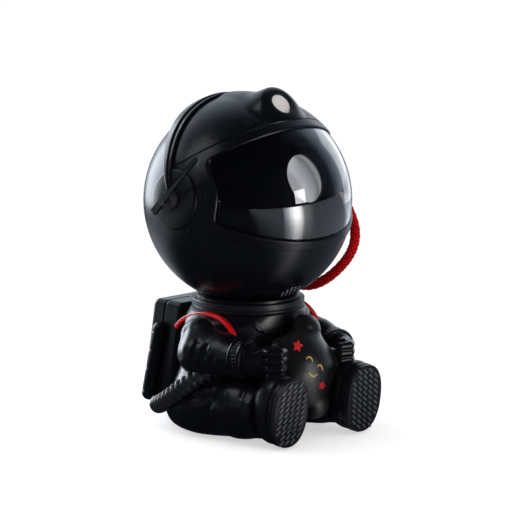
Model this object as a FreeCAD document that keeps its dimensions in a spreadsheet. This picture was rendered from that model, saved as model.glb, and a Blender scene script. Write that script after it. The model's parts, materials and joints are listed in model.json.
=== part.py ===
"""Seated spaceman star projector: a turning helmet with the optics in it, on a moulded figure.

Millimetres. The origin is on the ground under the neck axis, +Z is up and the figure faces -Y,
so its own right hand is on -X. Lengths in the head are counted from the centre of the helmet.
"""
import FreeCAD, Part
import math
import os
import re

import Sketcher
from FreeCAD import Placement, Rotation, Vector

SIZES = [
    # helmet
    ("helmet_seat", 82.0, "underside of the helmet above the ground"),
    ("helmet_radius", 68.0, "outside of the rear helmet shell"),
    ("cap_step", 0.5, "front helmet shell outside the rear one"),
    ("shell_wall", 2.5, "wall of the rear helmet shell"),
    ("split_tilt", 30.0, "lean of the joint between the helmet shells, from upright"),
    ("ear_rise", 8.0, "ear axis above the helmet centre"),
    ("ear_radius", 19.7, "ear disc"),
    ("ear_raise", 1.7, "ear disc above the front shell"),
    ("hoop_rise", 3.8, "hoop above the front shell"),
    ("hoop_tilt", 19.0, "lean of the hoop's front edge"),
    ("hoop_start", 1.8, "front edge of the hoop ahead of the ear axis"),
    ("surround_raise", 0.8, "visor surround above the front shell"),
    ("surround_width", 7.0, "visor surround around the opening"),
    ("visor_set", 0.5, "visor below the front shell"),
    ("visor_wall", 1.8, "thickness of the visor"),
    ("fit_gap", 0.15, "clearance of a piece set into another"),
    # antenna
    ("pivot_radius", 6.0, "antenna pivot boss"),
    ("pivot_rise", 5.7, "outer face of the pivot boss above the front shell"),
    ("antenna_thick", 2.8, "antenna bar, across the ear"),
    ("antenna_reach", 44.7, "antenna bar from its axis to the tip"),
    ("antenna_tail", 12.0, "antenna bar behind its axis"),
    ("antenna_wide", 6.2, "wide part of the antenna bar"),
    ("antenna_slim", 3.2, "slim part of the antenna bar"),
    ("antenna_lean", 45.0, "antenna bar at rest, from upright towards the front"),
    ("pin_radius", 1.5, "antenna pin and disc spindle"),
    ("running_gap", 0.05, "clearance of a bore around its pin"),
    ("free_gap", 0.3, "clearance between pieces that pass each other"),
    # forehead laser window
    ("laser_tilt", 55.0, "turn of the laser axis from upright"),
    ("laser_sink", 5.9, "laser window, along its axis, short of the shell radius"),
    ("laser_across", 36.4, "laser axis above the helmet centre"),
    ("laser_radius", 7.5, "laser window"),
    ("mound_radius", 11.5, "rim of the forehead mound"),
    ("laser_length", 17.0, "laser module"),
    # projection optics
    ("optic_tilt", 69.0, "turn of the optical axis from upright"),
    ("lens_radius", 15.8, "projection lens"),
    ("lens_sag", 7.0, "crown of the projection lens"),
    ("lens_sink", 17.0, "back of the projection lens behind the shell radius"),
    ("lens_edge", 2.0, "edge of the projection lens"),
    ("barrel_wall", 2.6, "wall of the lens barrel"),
    ("barrel_start", 21.0, "back of the lens barrel"),
    ("barrel_sink", 12.5, "front of the lens barrel behind the shell radius"),
    ("flange_reach", 9.7, "flange of the barrel outside the lens"),
    ("well_gap", 5.6, "round well in the face panel outside the lens"),
    ("well_sink", 20.0, "back of the well behind the shell radius"),
    ("panel_wall", 1.8, "wall of the face panel"),
    ("disc_start", 17.0, "back of the nebula disc"),
    ("disc_thick", 1.6, "nebula disc"),
    ("disc_rise", 13.0, "spindle of the nebula disc above the optical axis"),
    ("disc_teeth", 52.0, "teeth of the nebula disc"),
    ("pinion_teeth", 12.0, "teeth of the motor pinion"),
    ("gear_module", 0.8, "module of the pair"),
    ("condenser_radius", 8.5, "condenser lens"),
    ("board_radius", 13.0, "light-source board and heat sink"),
    ("sink_length", 14.0, "heat sink"),
    # sound, controls
    ("speaker_tilt", 145.0, "turn of the loudspeaker axis from upright"),
    ("speaker_radius", 14.0, "loudspeaker"),
    ("grille_pitch", 3.4, "spacing of the loudspeaker holes"),
    ("grille_hole", 0.8, "radius of a loudspeaker hole"),
    ("button_tilt", -110.0, "turn of the button axis from upright"),
    ("button_radius", 4.2, "push button"),
    ("button_proud", 0.6, "face of a button above the rear shell"),
    ("button_deep", 6.5, "back of a button's cap under the rear shell"),
    ("button_spacing", 14.0, "between buttons"),
    ("button_travel", 0.8, "stroke of a button"),
    ("port_recess", 8.0, "radius of the recess around the power inlet"),
    ("board_thick", 1.6, "printed circuit boards"),
    # neck
    ("collar_radius", 37.1, "collar band"),
    ("collar_base", 80.3, "underside of the collar"),
    ("collar_top", 86.5, "top of the collar band"),
    ("lip_inset", 2.7, "seat ring inside the collar band"),
    ("lip_top", 88.5, "top of the seat ring"),
    ("collar_wall", 6.3, "wall of the collar round the spigot of the seat ring"),
    ("seat_wall", 8.8, "wall of the seat ring's spigot"),
    ("magnet_inset", 6.0, "neck magnet inside the opening of the seat ring"),
    ("magnet_thick", 5.0, "neck magnet"),
    # figure
    ("body_wall", 2.2, "wall of the figure"),
    ("hip_width", 117.0, "figure at the hips"),
    ("hip_depth", 83.0, "figure at the hips, front to back"),
    ("chest_width", 94.0, "figure at the chest"),
    ("leg_radius", 20.5, "leg"),
    ("foot_spread", 34.0, "foot from the middle"),
    ("foot_reach", 74.3, "face of the sole ahead of the neck axis"),
    ("sole_width", 31.5, "sole"),
    ("sole_height", 46.0, "sole, standing on its heel"),
    ("sole_thick", 4.0, "sole"),
    ("sole_lean", 7.0, "lean of the sole, top forward"),
    ("boot_length", 19.0, "boot behind the sole"),
    ("star_radius", 36.0, "points of the star"),
    ("star_inner", 22.0, "valleys of the star"),
    ("star_thick", 26.0, "star"),
    ("star_turn", -20.0, "star turned from upright"),
    ("star_lean", 12.0, "star leaning back"),
    ("foot_pad", 1.2, "rubber pad below the base plate"),
    # backpack
    ("pack_width", 64.0, "backpack"),
    ("pack_top", 81.4, "top of the backpack"),
    ("pack_wall", 2.0, "wall of the backpack"),
    ("pack_seam", 12.0, "joint of the backpack ahead of its back face"),
    ("tank_radius", 5.0, "rounded rib on each side of the backpack"),
    ("pipe_radius", 6.2, "corrugated hose at the waist"),
    ("strap_width", 3.8, "shoulder strap"),
    ("strap_x", 38.0, "middle of the shoulder strap from the neck axis"),
    ("hose_diameter", 7.0, "braided hose beside the helmet"),
]

# Sizes that are the sum of others.
SUMS = {
    "head_height": "helmet_seat + helmet_radius",
    "cap_radius": "helmet_radius + cap_step",
    "hoop_radius": "cap_radius + hoop_rise",
    "visor_radius": "cap_radius - visor_set",
    "pivot_end": "cap_radius + pivot_rise",
    "laser_along": "cap_radius - laser_sink",
    "lens_back": "cap_radius - lens_sink",
    "barrel_end": "cap_radius - barrel_sink",
    "flange_radius": "lens_radius + flange_reach",
    "well_radius": "lens_radius + well_gap",
    "well_floor": "cap_radius - well_sink",
    "lip_radius": "collar_radius - lip_inset",
    "spigot_radius": "collar_radius - collar_wall",
    "seat_bore": "spigot_radius - seat_wall",
    "magnet_radius": "seat_bore - magnet_inset",
    "button_face": "helmet_radius + button_proud",
    "button_back": "helmet_radius - button_deep",
}

doc = FreeCAD.newDocument("star_projector")
sheet = doc.addObject("Spreadsheet::Sheet", "Sizes")
for row, (alias, value, meaning) in enumerate(SIZES, 1):
    sheet.set("A%d" % row, meaning)
    sheet.set("B%d" % row, str(value))
    sheet.setAlias("B%d" % row, alias)
doc.recompute()

ALL_NODES = []
X_AXIS = Vector(1, 0, 0)
Y_AXIS = Vector(0, 1, 0)
REACH = 200.0          # size of the blocks that halve a piece


def size(alias):
    """The value of one named size, or of a sum of named sizes."""
    if alias not in SUMS:
        return float(sheet.get(alias))
    terms = re.findall(r"([-+]?) ?([a-z_]+)", SUMS[alias])
    return sum(-size(name) if sign == "-" else size(name) for sign, name in terms)


HEAD = Vector(0, 0, size("head_height"))


def rule(text):
    """An expression whose bare size names are read from the sheet."""
    names = "|".join(SUMS)
    while re.search(r"\b(%s)\b" % names, text):
        text = re.sub(r"\b(%s)\b" % names, lambda found: "(%s)" % SUMS[found.group(1)], text)
    return re.sub(r"\b([a-z]+(?:_[a-z]+)+)\b", r"Sizes.\1", text)


def bind(item, rules):
    for name, text in rules.items():
        item.setExpression(name, rule(text))
    return item


def place(item, x="0", y="0", z="0", turn=None, axis=X_AXIS):
    item.Placement = Placement(Vector(), Rotation(axis, 1.0))
    rules = {"Placement.Base.x": x, "Placement.Base.y": y, "Placement.Base.z": z}
    rules["Placement.Rotation.Angle"] = turn if turn else "0"
    return bind(item, rules)


def on_head(item, tilt, along, side="0", across="0"):
    """Put an item on an axis through the helmet: its own Z leans by tilt about X."""
    y = "-(%s)*sin((%s)*1deg)+(%s)*cos((%s)*1deg)" % (along, tilt, across, tilt)
    z = "head_height+(%s)*cos((%s)*1deg)+(%s)*sin((%s)*1deg)" % (along, tilt, across, tilt)
    return place(item, side, y, z, tilt)


def head_frame(tilt):
    """The placement whose own Z is an axis of the helmet that leans by a named tilt."""
    return Placement(HEAD, Rotation(X_AXIS, size(tilt)))


def ball(name, radius):
    item = bind(doc.addObject("Part::Sphere", name), {"Radius": radius})
    return place(item, z="head_height")


def rod(name, radius, length):
    return bind(doc.addObject("Part::Cylinder", name), {"Radius": radius, "Height": length})


def upright(name, radius, low, high, x="0", y="0"):
    return place(rod(name, radius, "(%s)-(%s)" % (high, low)), x, y, low)


def crossways(name, radius, near, far):
    """A rod along X at the height of the ears."""
    item = rod(name, radius, "(%s)-(%s)" % (far, near))
    return place(item, near, "0", "head_height+ear_rise", "90", Y_AXIS)


def aimed(name, radius, tilt, start, end, side="0", across="0"):
    return on_head(rod(name, radius, "(%s)-(%s)" % (end, start)), tilt, start, side, across)


def block(name, length, width, height):
    return bind(doc.addObject("Part::Box", name), {"Length": length, "Width": width, "Height": height})


def cut(name, base, *tools):
    item = doc.addObject("Part::Cut", name)
    item.Base = base
    item.Tool = tools[0] if len(tools) == 1 else fuse(name + "_tools", *tools)
    return item


def fuse(name, *pieces):
    item = doc.addObject("Part::MultiFuse", name)
    item.Shapes = list(pieces)
    return item


def common(name, *pieces):
    item = doc.addObject("Part::MultiCommon", name)
    item.Shapes = list(pieces)
    return item


def formed(name, shape, placement=None):
    """A free-form piece made with Part's own functions from sizes of the sheet."""
    item = doc.addObject("Part::Feature", name)
    item.Shape = shape
    if placement:
        item.Placement = placement
    return item


def node(label, item):
    """Give a finished piece its own name and keep it for export."""
    item.Label = label
    ALL_NODES.append(item)
    return item


def half_space(name, tilt, side, shift="0"):
    """Everything ahead of (front) or behind (rear) a plane that leans back over the ear axis."""
    reach = str(REACH)
    item = block(name, "2*" + reach, reach, "2*" + reach)
    corner = reach if side == "front" else "0"
    y = "-(%s)-(%s)*cos(%s*1deg)-%s*sin(%s*1deg)" % (shift, corner, tilt, reach, tilt)
    z = "head_height+ear_rise+(%s)*sin(%s*1deg)-%s*cos(%s*1deg)" % (corner, tilt, reach, tilt)
    return place(item, "-" + reach, y, z, "-" + tilt)


def side_prism(points, half_width, shift=Vector()):
    """A prism across the figure from an outline of (y, z) points."""
    corners = [Vector(-half_width, y, z) + shift for y, z in points]
    face = Part.Face(Part.makePolygon(corners + corners[:1]))
    return face.extrude(Vector(2 * half_width, 0, 0))


def largest(shape):
    return max(shape.Solids, key=lambda solid: solid.Volume)


# ---------------------------------------------------------------- helmet shells

VISOR_TOP = (20.3, -0.70)        # upper edge of the opening: height at the middle, slope
VISOR_BOTTOM = (7.5, 0.385)      # lower edge of the opening
VISOR_REAR = [(-20.2, 33.0), (-31.6, 9.0), (-33.0, -5.2)]
VISOR_CORNER = 3.0
VISOR_DEPTH = -80.0


def visor_outline(growth):
    """Side outline of the visor opening, grown by a margin, as a face in the plane of symmetry."""
    top, middle, bottom = [Vector(0, y, z) for y, z in VISOR_REAR]
    front_top = Vector(0, VISOR_DEPTH, VISOR_TOP[0] + VISOR_TOP[1] * VISOR_DEPTH)
    front_low = Vector(0, VISOR_DEPTH, VISOR_BOTTOM[0] + VISOR_BOTTOM[1] * VISOR_DEPTH)
    edges = [
        Part.LineSegment(front_low, front_top).toShape(),
        Part.LineSegment(front_top, top).toShape(),
        Part.Arc(top, middle, bottom).toShape(),
        Part.LineSegment(bottom, front_low).toShape(),
    ]
    wire = Part.Wire(Part.__sortEdges__(edges))
    wire = wire.makeOffset2D(-VISOR_CORNER)
    wire = wire.makeOffset2D(VISOR_CORNER + growth)
    return Part.Face(wire)


def visor_prism(name, growth):
    half = size("hoop_radius")
    face = visor_outline(growth)
    face.translate(HEAD - Vector(half, 0, 0))
    return formed(name, face.extrude(Vector(2 * half, 0, 0)))


def round_section(radius, centre, normal):
    return Part.Wire(Part.makeCircle(radius, centre, normal))


def forehead_mound():
    """The fairing round the laser window, running back over the crown."""
    frame = head_frame("laser_tilt")
    axis = frame.Rotation.multVec(Vector(0, 0, 1))
    window = frame.multVec(Vector(0, size("laser_across"), size("laser_along")))
    radius = size("mound_radius")
    back = HEAD + Vector(0, 8.0, size("cap_radius") - 4.5)
    middle = (window + back) * 0.5 + Vector(0, 0, 1.0)
    sections = [
        round_section(radius, window + axis * 1.2, axis),
        round_section(radius * 0.86, middle, Vector(0, -1, 0.22)),
        round_section(radius * 0.34, back, Vector(0, -1, -0.05)),
    ]
    return Part.makeLoft(sections, True)


SCREW_INSET = 6.5                # screws of the helmet inside the rear shell
SCREW_SPREAD = 47.0              # and from the plane of symmetry
BOSS_RADIUS = 3.5
BOSS_LENGTH = 15.0
SCREW_RADIUS = 1.25
SCREW_HEAD = 2.4
SCREW_LENGTH = 13.0


def screw_places():
    ring = size("helmet_radius") - SCREW_INSET
    height = math.sqrt(ring ** 2 - SCREW_SPREAD ** 2)
    return [(side * SCREW_SPREAD, end * height) for side in (-1, 1) for end in (-1, 1)]


def split_rods(radius, start, end):
    """Rods square to the joint of the shells, at the four screws; positive is behind the joint."""
    frame = Placement(HEAD + Vector(0, 0, size("ear_rise")), Rotation(X_AXIS, -90 - size("split_tilt")))
    drop = size("ear_rise") * math.cos(math.radians(size("split_tilt")))
    rods = []
    for x, along in screw_places():
        place_on_joint = Vector(x, -(along - drop), start)
        rods.append(Part.makeCylinder(radius, end - start, place_on_joint))
    shape = Part.makeCompound(rods)
    shape.Placement = frame
    return shape


inside = ball("helmet_inside", "helmet_radius-shell_wall")
ahead = half_space("ahead_of_joint", "split_tilt", "front")
behind = half_space("behind_joint", "split_tilt", "rear")
ear_bore = crossways("ear_bore", "pivot_radius*0.4", "-hoop_radius-2", "hoop_radius+2")

front_ball = ball("front_ball", "cap_radius")
front_mass = common("front_mass", front_ball, ahead)
front_solid = fuse("front_solid", front_mass, formed("mound", forehead_mound()))
front_hollow = cut("front_hollow", front_solid, inside)
front_boss = common("front_boss", formed("front_boss_rods", split_rods(BOSS_RADIUS, -BOSS_LENGTH, 0)),
                    ball("front_boss_limit", "cap_radius-0.5"))
front_full = fuse("front_full", front_hollow, front_boss)


def grille_places():
    """Holes on a hexagonal net inside a round field."""
    pitch = size("grille_pitch")
    spots = []
    for row in range(-2, 3):
        for step in range(-3, 4):
            x = (step + 0.5 * (row % 2)) * pitch
            y = row * pitch * math.sqrt(3) / 2
            if math.hypot(x, y) < 2.3 * pitch:
                spots.append((x, y))
    return spots


def grille_rods():
    rods = [Part.makeCylinder(size("grille_hole"), 20, Vector(x, y, size("cap_radius") - 15))
            for x, y in grille_places()]
    return formed("grille_rods", Part.makeCompound(rods), head_frame("speaker_tilt"))


laser_bore = aimed("laser_bore", "laser_radius+fit_gap", "laser_tilt", "laser_along-laser_length-15",
                   "laser_along+10", "0", "laser_across")
front_screw_bore = formed("front_screw_bore", split_rods(SCREW_RADIUS, -BOSS_LENGTH + 2, 1))
node("helmet_front_shell", cut("helmet_front_shell", front_full, visor_prism("visor_hole", 0.0),
                               laser_bore, front_screw_bore, grille_rods(), ear_bore))

rear_mass = common("rear_mass", ball("rear_ball", "helmet_radius"), behind)
rear_hollow = cut("rear_hollow", rear_mass, inside)
rear_boss = common("rear_boss", formed("rear_boss_rods", split_rods(BOSS_RADIUS, 0, BOSS_LENGTH)),
                   ball("rear_boss_limit", "helmet_radius-0.5"))
rear_full = fuse("rear_full", rear_hollow, rear_boss)

PORT_AIM = Vector(-0.50, 0.50, -0.71)         # where the power inlet looks
PORT_DEPTH = 5.0                              # floor of its recess under the shell


def port_frame():
    return Placement(HEAD, Rotation(Vector(0, 0, 1), PORT_AIM))


def port_cup(radius, start, end):
    """A round plug on the axis of the power inlet."""
    shape = Part.makeCylinder(radius, end - start, Vector(0, 0, start))
    shape.Placement = port_frame()
    return shape


outer_reach = size("helmet_radius")
port_cup_outer = formed("port_cup_outer", port_cup(size("port_recess") + 2, outer_reach - PORT_DEPTH - 2.0,
                                                  outer_reach + 2))
port_cup_inner = formed("port_cup_inner", port_cup(size("port_recess"), outer_reach - PORT_DEPTH,
                                                  outer_reach + 4))
port_wall = common("port_wall", port_cup_outer, ball("port_limit", "helmet_radius-0.2"))
USB_WIDE, USB_HIGH, USB_LONG = 9.0, 3.3, 7.4


def port_block(wide, high, start, end):
    shape = Part.makeBox(wide, high, end - start, Vector(-wide / 2, -high / 2, start))
    shape.Placement = port_frame()
    return shape


port_floor = outer_reach - PORT_DEPTH
port_slot = formed("port_slot", port_block(USB_WIDE + 0.3, USB_HIGH + 0.3, port_floor - 4, port_floor + 1))
button_bores = [aimed("button_bore_%d" % place_no, "button_radius+fit_gap", "button_tilt",
                      "button_back-11", "button_face+6", "%d*button_spacing" % place_no)
                for place_no in (-1, 0, 1)]
rear_screw_bore = formed("rear_screw_bore", split_rods(SCREW_RADIUS + 0.15, -1, BOSS_LENGTH))
rear_head_bore = formed("rear_head_bore", split_rods(SCREW_HEAD + 0.2, SCREW_LENGTH - 6, 70))
MAIN_BOARD_Y = 36.0
BOARD_POSTS = [(-25.0, -4.0), (25.0, -4.0), (-25.0, 22.0), (25.0, 22.0)]


def board_posts():
    """Posts inside the rear shell that carry the main board."""
    start = MAIN_BOARD_Y + size("board_thick") + 0.1
    return Part.makeCompound([Part.makeCylinder(3.0, 60, HEAD + Vector(x, start, z), Y_AXIS)
                              for x, z in BOARD_POSTS])


rear_posts = common("rear_posts", formed("board_posts", board_posts()),
                    ball("post_limit", "helmet_radius-0.5"))
rear_walled = fuse("rear_walled", rear_full, port_wall, rear_posts)
node("helmet_rear_shell", cut("helmet_rear_shell", rear_walled, port_cup_inner, port_slot,
                              rear_screw_bore, rear_head_bore, ear_bore, *button_bores))


def helmet_screws():
    shafts = split_rods(SCREW_RADIUS - 0.05, SCREW_LENGTH - 6 - SCREW_LENGTH, SCREW_LENGTH - 6)
    heads = split_rods(SCREW_HEAD, SCREW_LENGTH - 6, SCREW_LENGTH - 4)
    return Part.makeCompound([shaft.fuse(head).removeSplitter()
                              for shaft, head in zip(shafts.Solids, heads.Solids)])


node("helmet_screws", formed("helmet_screws", helmet_screws()))

# hoop, surround, visor, ears
hoop_skin = cut("hoop_skin", ball("hoop_ball", "hoop_radius"), ball("hoop_hollow", "cap_radius+0.05"))
hoop_front = half_space("behind_hoop_front", "hoop_tilt", "rear", "hoop_start")
ear_holes = crossways("ear_disc_clearance", "ear_radius+0.1", "-hoop_radius-5", "hoop_radius+5")
node("helmet_hoop", cut("helmet_hoop", common("hoop_wedge", hoop_skin, ahead, hoop_front), ear_holes,
                        formed("hoop_mound_clearance", forehead_mound())))

surround_skin = cut("surround_skin", ball("surround_ball", "cap_radius+surround_raise"),
                    ball("surround_hollow", "cap_radius+0.02"))
surround_wall = cut("surround_wall", visor_prism("surround_prism", size("surround_width")),
                    visor_prism("surround_window", 0.0))
node("visor_surround", common("visor_surround", surround_skin, surround_wall))

visor_skin = cut("visor_skin", ball("visor_ball", "visor_radius"),
                 ball("visor_hollow", "visor_radius-visor_wall"))
node("visor", common("visor", visor_skin, visor_prism("visor_prism", -size("fit_gap"))))

ear_skin = cut("ear_skin", ball("ear_ball", "cap_radius+ear_raise"), ball("ear_hollow", "cap_radius+0.05"))
right_rod = crossways("right_ear_rod", "ear_radius", "-hoop_radius-5", "-20")
left_rod = crossways("left_ear_rod", "ear_radius", "20", "hoop_radius+5")
node("ear_disc_right", common("ear_disc_right", ear_skin, right_rod))
node("ear_disc_left", common("ear_disc_left", ear_skin, left_rod))

# antenna on the right ear
pivot_boss = crossways("pivot_boss", "pivot_radius", "-pivot_end", "-cap_radius+2")
pivot_pin = crossways("pivot_pin", "pin_radius", "-pivot_end-free_gap-antenna_thick-0.6", "-pivot_end+1")
pivot_cap = crossways("pivot_cap", "pin_radius*1.8", "-pivot_end-2*free_gap-antenna_thick-1.0",
                      "-pivot_end-2*free_gap-antenna_thick")
pivot_solid = fuse("pivot_solid", pivot_boss, pivot_pin, pivot_cap)
node("antenna_pivot", cut("antenna_pivot", pivot_solid, ball("pivot_seat", "cap_radius+ear_raise")))


def antenna_bar():
    """A flat bar with a wide root and a slim tip, turning on its pin; built lying forward."""
    thick = size("antenna_thick")
    wide, slim = size("antenna_wide"), size("antenna_slim")
    reach, tail, step = size("antenna_reach"), size("antenna_tail"), 8.5
    root = Part.makeBox(thick, wide, tail + step, Vector(0, -wide / 2, -tail))
    tip = Part.makeBox(thick, slim, reach - step - slim / 2, Vector(0, -slim / 2, step))
    end = Part.makeCylinder(slim / 2, thick, Vector(0, 0, reach - slim / 2), X_AXIS)
    hub = Part.makeCylinder(wide * 0.8, thick, Vector(), X_AXIS)
    bore = Part.makeCylinder(size("pin_radius") + size("running_gap"), thick + 2, Vector(-1, 0, 0), X_AXIS)
    return root.fuse([tip, end, hub]).removeSplitter().cut(bore)


antenna_seat = Vector(-size("pivot_end") - size("free_gap") - size("antenna_thick"), 0,
                      size("head_height") + size("ear_rise"))
node("antenna_bar", formed("antenna_bar", antenna_bar(),
                           Placement(antenna_seat, Rotation(X_AXIS, size("antenna_lean")))))

# forehead laser
node("forehead_lens", aimed("forehead_lens", "laser_radius", "laser_tilt", "laser_along-2", "laser_along",
                            "0", "laser_across"))
laser_body = aimed("laser_body", "laser_radius", "laser_tilt", "laser_along-2.2-laser_length",
                   "laser_along-2.2", "0", "laser_across")
laser_eye = aimed("laser_eye", "laser_radius-1.6", "laser_tilt", "laser_along-5", "laser_along-2", "0",
                  "laser_across")
node("laser_module", cut("laser_module", laser_body, laser_eye))

# ---------------------------------------------------------------- projection optics

panel_skin = cut("panel_skin", ball("panel_ball", "helmet_radius-shell_wall-free_gap"),
                 ball("panel_hollow", "helmet_radius-shell_wall-free_gap-panel_wall"))
panel_sheet = common("panel_sheet", panel_skin, visor_prism("panel_prism", size("surround_width") - 1.0),
                     ahead)
well_wall = cut("well_wall",
                aimed("well_outer", "well_radius+panel_wall", "optic_tilt", "well_floor", "cap_radius-6.5"),
                aimed("well_inner", "well_radius", "optic_tilt", "well_floor+1.5", "cap_radius+2"))
panel_open = cut("panel_open", panel_sheet,
                 aimed("panel_window", "well_radius", "optic_tilt", "well_floor+1.5", "cap_radius+2"))
panel_full = fuse("panel_full", panel_open, well_wall)
panel_limit = common("panel_limit", panel_full, ball("panel_edge", "helmet_radius-shell_wall-free_gap"))
node("face_panel", cut("face_panel", panel_limit,
                       aimed("barrel_way", "lens_radius+barrel_wall+fit_gap", "optic_tilt", "well_floor-8",
                             "well_floor+6.5"),
                       aimed("panel_laser_way", "laser_radius+2", "laser_tilt", "laser_along-laser_length-6",
                             "laser_along+5", "0", "laser_across")))

FLANGE_THICK = 2.0
barrel_solid = fuse("barrel_solid",
                    aimed("barrel_body", "lens_radius+barrel_wall", "optic_tilt", "barrel_start",
                          "barrel_end"),
                    aimed("barrel_flange", "flange_radius", "optic_tilt", "barrel_start",
                          "barrel_start+%g" % FLANGE_THICK))
node("lens_barrel", cut("lens_barrel", barrel_solid,
                        aimed("barrel_seat", "lens_radius+fit_gap", "optic_tilt", "lens_back-0.1",
                              "cap_radius"),
                        aimed("barrel_bore", "lens_radius-1.2", "optic_tilt", "barrel_start-1",
                              "cap_radius")))


def crowned_lens(radius, sag, edge):
    """A flat-backed lens: a short rim under a spherical crown."""
    crown = (radius ** 2 + sag ** 2) / (2 * sag)
    rim = Part.makeCylinder(radius, edge)
    dome = Part.makeSphere(crown, Vector(0, 0, edge + sag - crown))
    cap = dome.common(Part.makeCylinder(radius, sag + 1, Vector(0, 0, edge)))
    return rim.fuse(cap).removeSplitter()


def optic_item(name, shape, along, across=0.0, side=0.0):
    frame = head_frame("optic_tilt")
    return formed(name, shape, frame.multiply(Placement(Vector(side, across, along), Rotation())))


node("projection_lens", optic_item("projection_lens",
                                   crowned_lens(size("lens_radius"), size("lens_sag"), size("lens_edge")),
                                   size("lens_back")))
CONDENSER_START = 8.0
node("condenser_lens", optic_item("condenser_lens", crowned_lens(size("condenser_radius"), 3.0, 2.0),
                                  CONDENSER_START))

BOARD_START = 2.0
CHIP_SPREAD = 2.6
led_board = aimed("led_disc", "board_radius", "optic_tilt", "%g" % BOARD_START,
                  "%g+board_thick" % BOARD_START)
chips = [on_head(block("led_chip_%d%d" % (i, j), "3.5", "3.5", "0.8"), "optic_tilt",
                 "%g+board_thick" % BOARD_START, "%g-1.75" % (i * CHIP_SPREAD), "%g-1.75" % (j * CHIP_SPREAD))
         for i in (-1, 1) for j in (-1, 1)]
node("led_board", fuse("led_board", led_board, *chips))
FIN_COUNT = 6
FIN_GAP = 2.2


def heat_sink():
    """A round block with straight fins."""
    radius, length = size("board_radius"), size("sink_length")
    body = Part.makeCylinder(radius, length)
    pitch = 2 * radius / FIN_COUNT
    slots = []
    for number in range(FIN_COUNT):
        corner = Vector((number + 0.5) * pitch - FIN_GAP / 2 - radius, -radius - 1, -1)
        slots.append(Part.makeBox(FIN_GAP, 2 * radius + 2, length - 3, corner))
    return body.cut(Part.makeCompound(slots))


node("heat_sink", optic_item("heat_sink", heat_sink(), BOARD_START - size("sink_length")))

PLATE_START, PLATE_THICK = 5.0, 2.0
POST_RADIUS = 2.0
POST_INSET = 3.0                         # posts of the bracket inside the edge of the barrel's flange
LOW_POST_TURN = 49.0                     # lower posts, down from the sides
PLATE_REACH = 1.0                        # plate outside the flange
SKIRT_DROP, SKIRT_WALL = 3.0, 1.6        # the sleeve that holds the heat sink


def gear_distance():
    return size("gear_module") * (size("disc_teeth") + size("pinion_teeth")) / 2


def post_places():
    """Four posts on the flange: the side ones stay clear of the disc, the others lie lower down."""
    module, gap = size("gear_module"), 1.0
    reach = size("flange_radius") - POST_INSET
    clear = (size("disc_teeth") / 2 + 1) * module + gap + POST_RADIUS
    rise = size("disc_rise")
    drop = max(0.0, (clear ** 2 - reach ** 2 - rise ** 2) / (2 * rise))
    low_turn = math.radians(LOW_POST_TURN)
    low = (reach * math.cos(low_turn) * 0.95, -reach * math.sin(low_turn) * 0.95)
    upper = (math.sqrt(reach ** 2 - drop ** 2), -drop)
    return [(side * x, y) for x, y in (upper, low) for side in (-1, 1)]


def optics_bracket():
    """The plate between light source and disc, its posts to the barrel, and the spindle of the disc."""
    rise, distance = size("disc_rise"), gear_distance()
    disc_start, start = size("disc_start"), PLATE_START
    plate = Part.makeCylinder(size("flange_radius") + PLATE_REACH, PLATE_THICK, Vector(0, 0, start))
    arm = Part.makeBox(distance + 8, 16, PLATE_THICK, Vector(0, rise - 8, start))
    holder = Part.makeCylinder(size("condenser_radius") + 1.8, 6.5, Vector(0, 0, start))
    skirt_start = Vector(0, 0, BOARD_START - SKIRT_DROP)
    skirt_long = start - BOARD_START + SKIRT_DROP
    skirt = Part.makeCylinder(size("board_radius") + SKIRT_WALL, skirt_long, skirt_start)
    posts = [Part.makeCylinder(POST_RADIUS, size("barrel_start") - start, Vector(x, y, start))
             for x, y in post_places()]
    spindle = Part.makeCylinder(size("pin_radius"), disc_start + size("disc_thick") + 1.2 - start,
                                Vector(0, rise, start))
    shoulder = Part.makeCylinder(3.0, disc_start - size("free_gap") - start, Vector(0, rise, start))
    solid = plate.fuse([arm, holder, skirt, shoulder, spindle] + posts)
    light_way = Part.makeCylinder(size("condenser_radius") - 1.0, 40, Vector(0, 0, BOARD_START))
    lens_seat = Part.makeCylinder(size("condenser_radius") + 0.1, 20, Vector(0, 0, CONDENSER_START))
    sink_way = Part.makeCylinder(size("board_radius") + size("fit_gap"), skirt_long, skirt_start)
    shaft_way = Part.makeCylinder(2.0, 10, Vector(distance, rise, start - 2))
    return solid.cut(sink_way).cut(light_way).cut(lens_seat).cut(shaft_way)


node("optics_bracket", optic_item("optics_bracket", optics_bracket(), 0.0))

MOTOR_SHAFT = 1.0


def gear_motor():
    """A small can motor under the bracket, its shaft through the pinion."""
    top = PLATE_START
    can = Part.makeCylinder(6.0, 18, Vector(0, 0, top - 18))
    shaft_long = size("disc_start") + size("disc_thick") + 1 - top
    shaft = Part.makeCylinder(MOTOR_SHAFT, shaft_long, Vector(0, 0, top))
    return can.fuse(shaft).removeSplitter()


node("gear_motor", optic_item("gear_motor", gear_motor(), 0.0, size("disc_rise"), gear_distance()))


def find_plane(body, role):
    return [item for item in body.Origin.OriginFeatures if item.Role == role][0]


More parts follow.
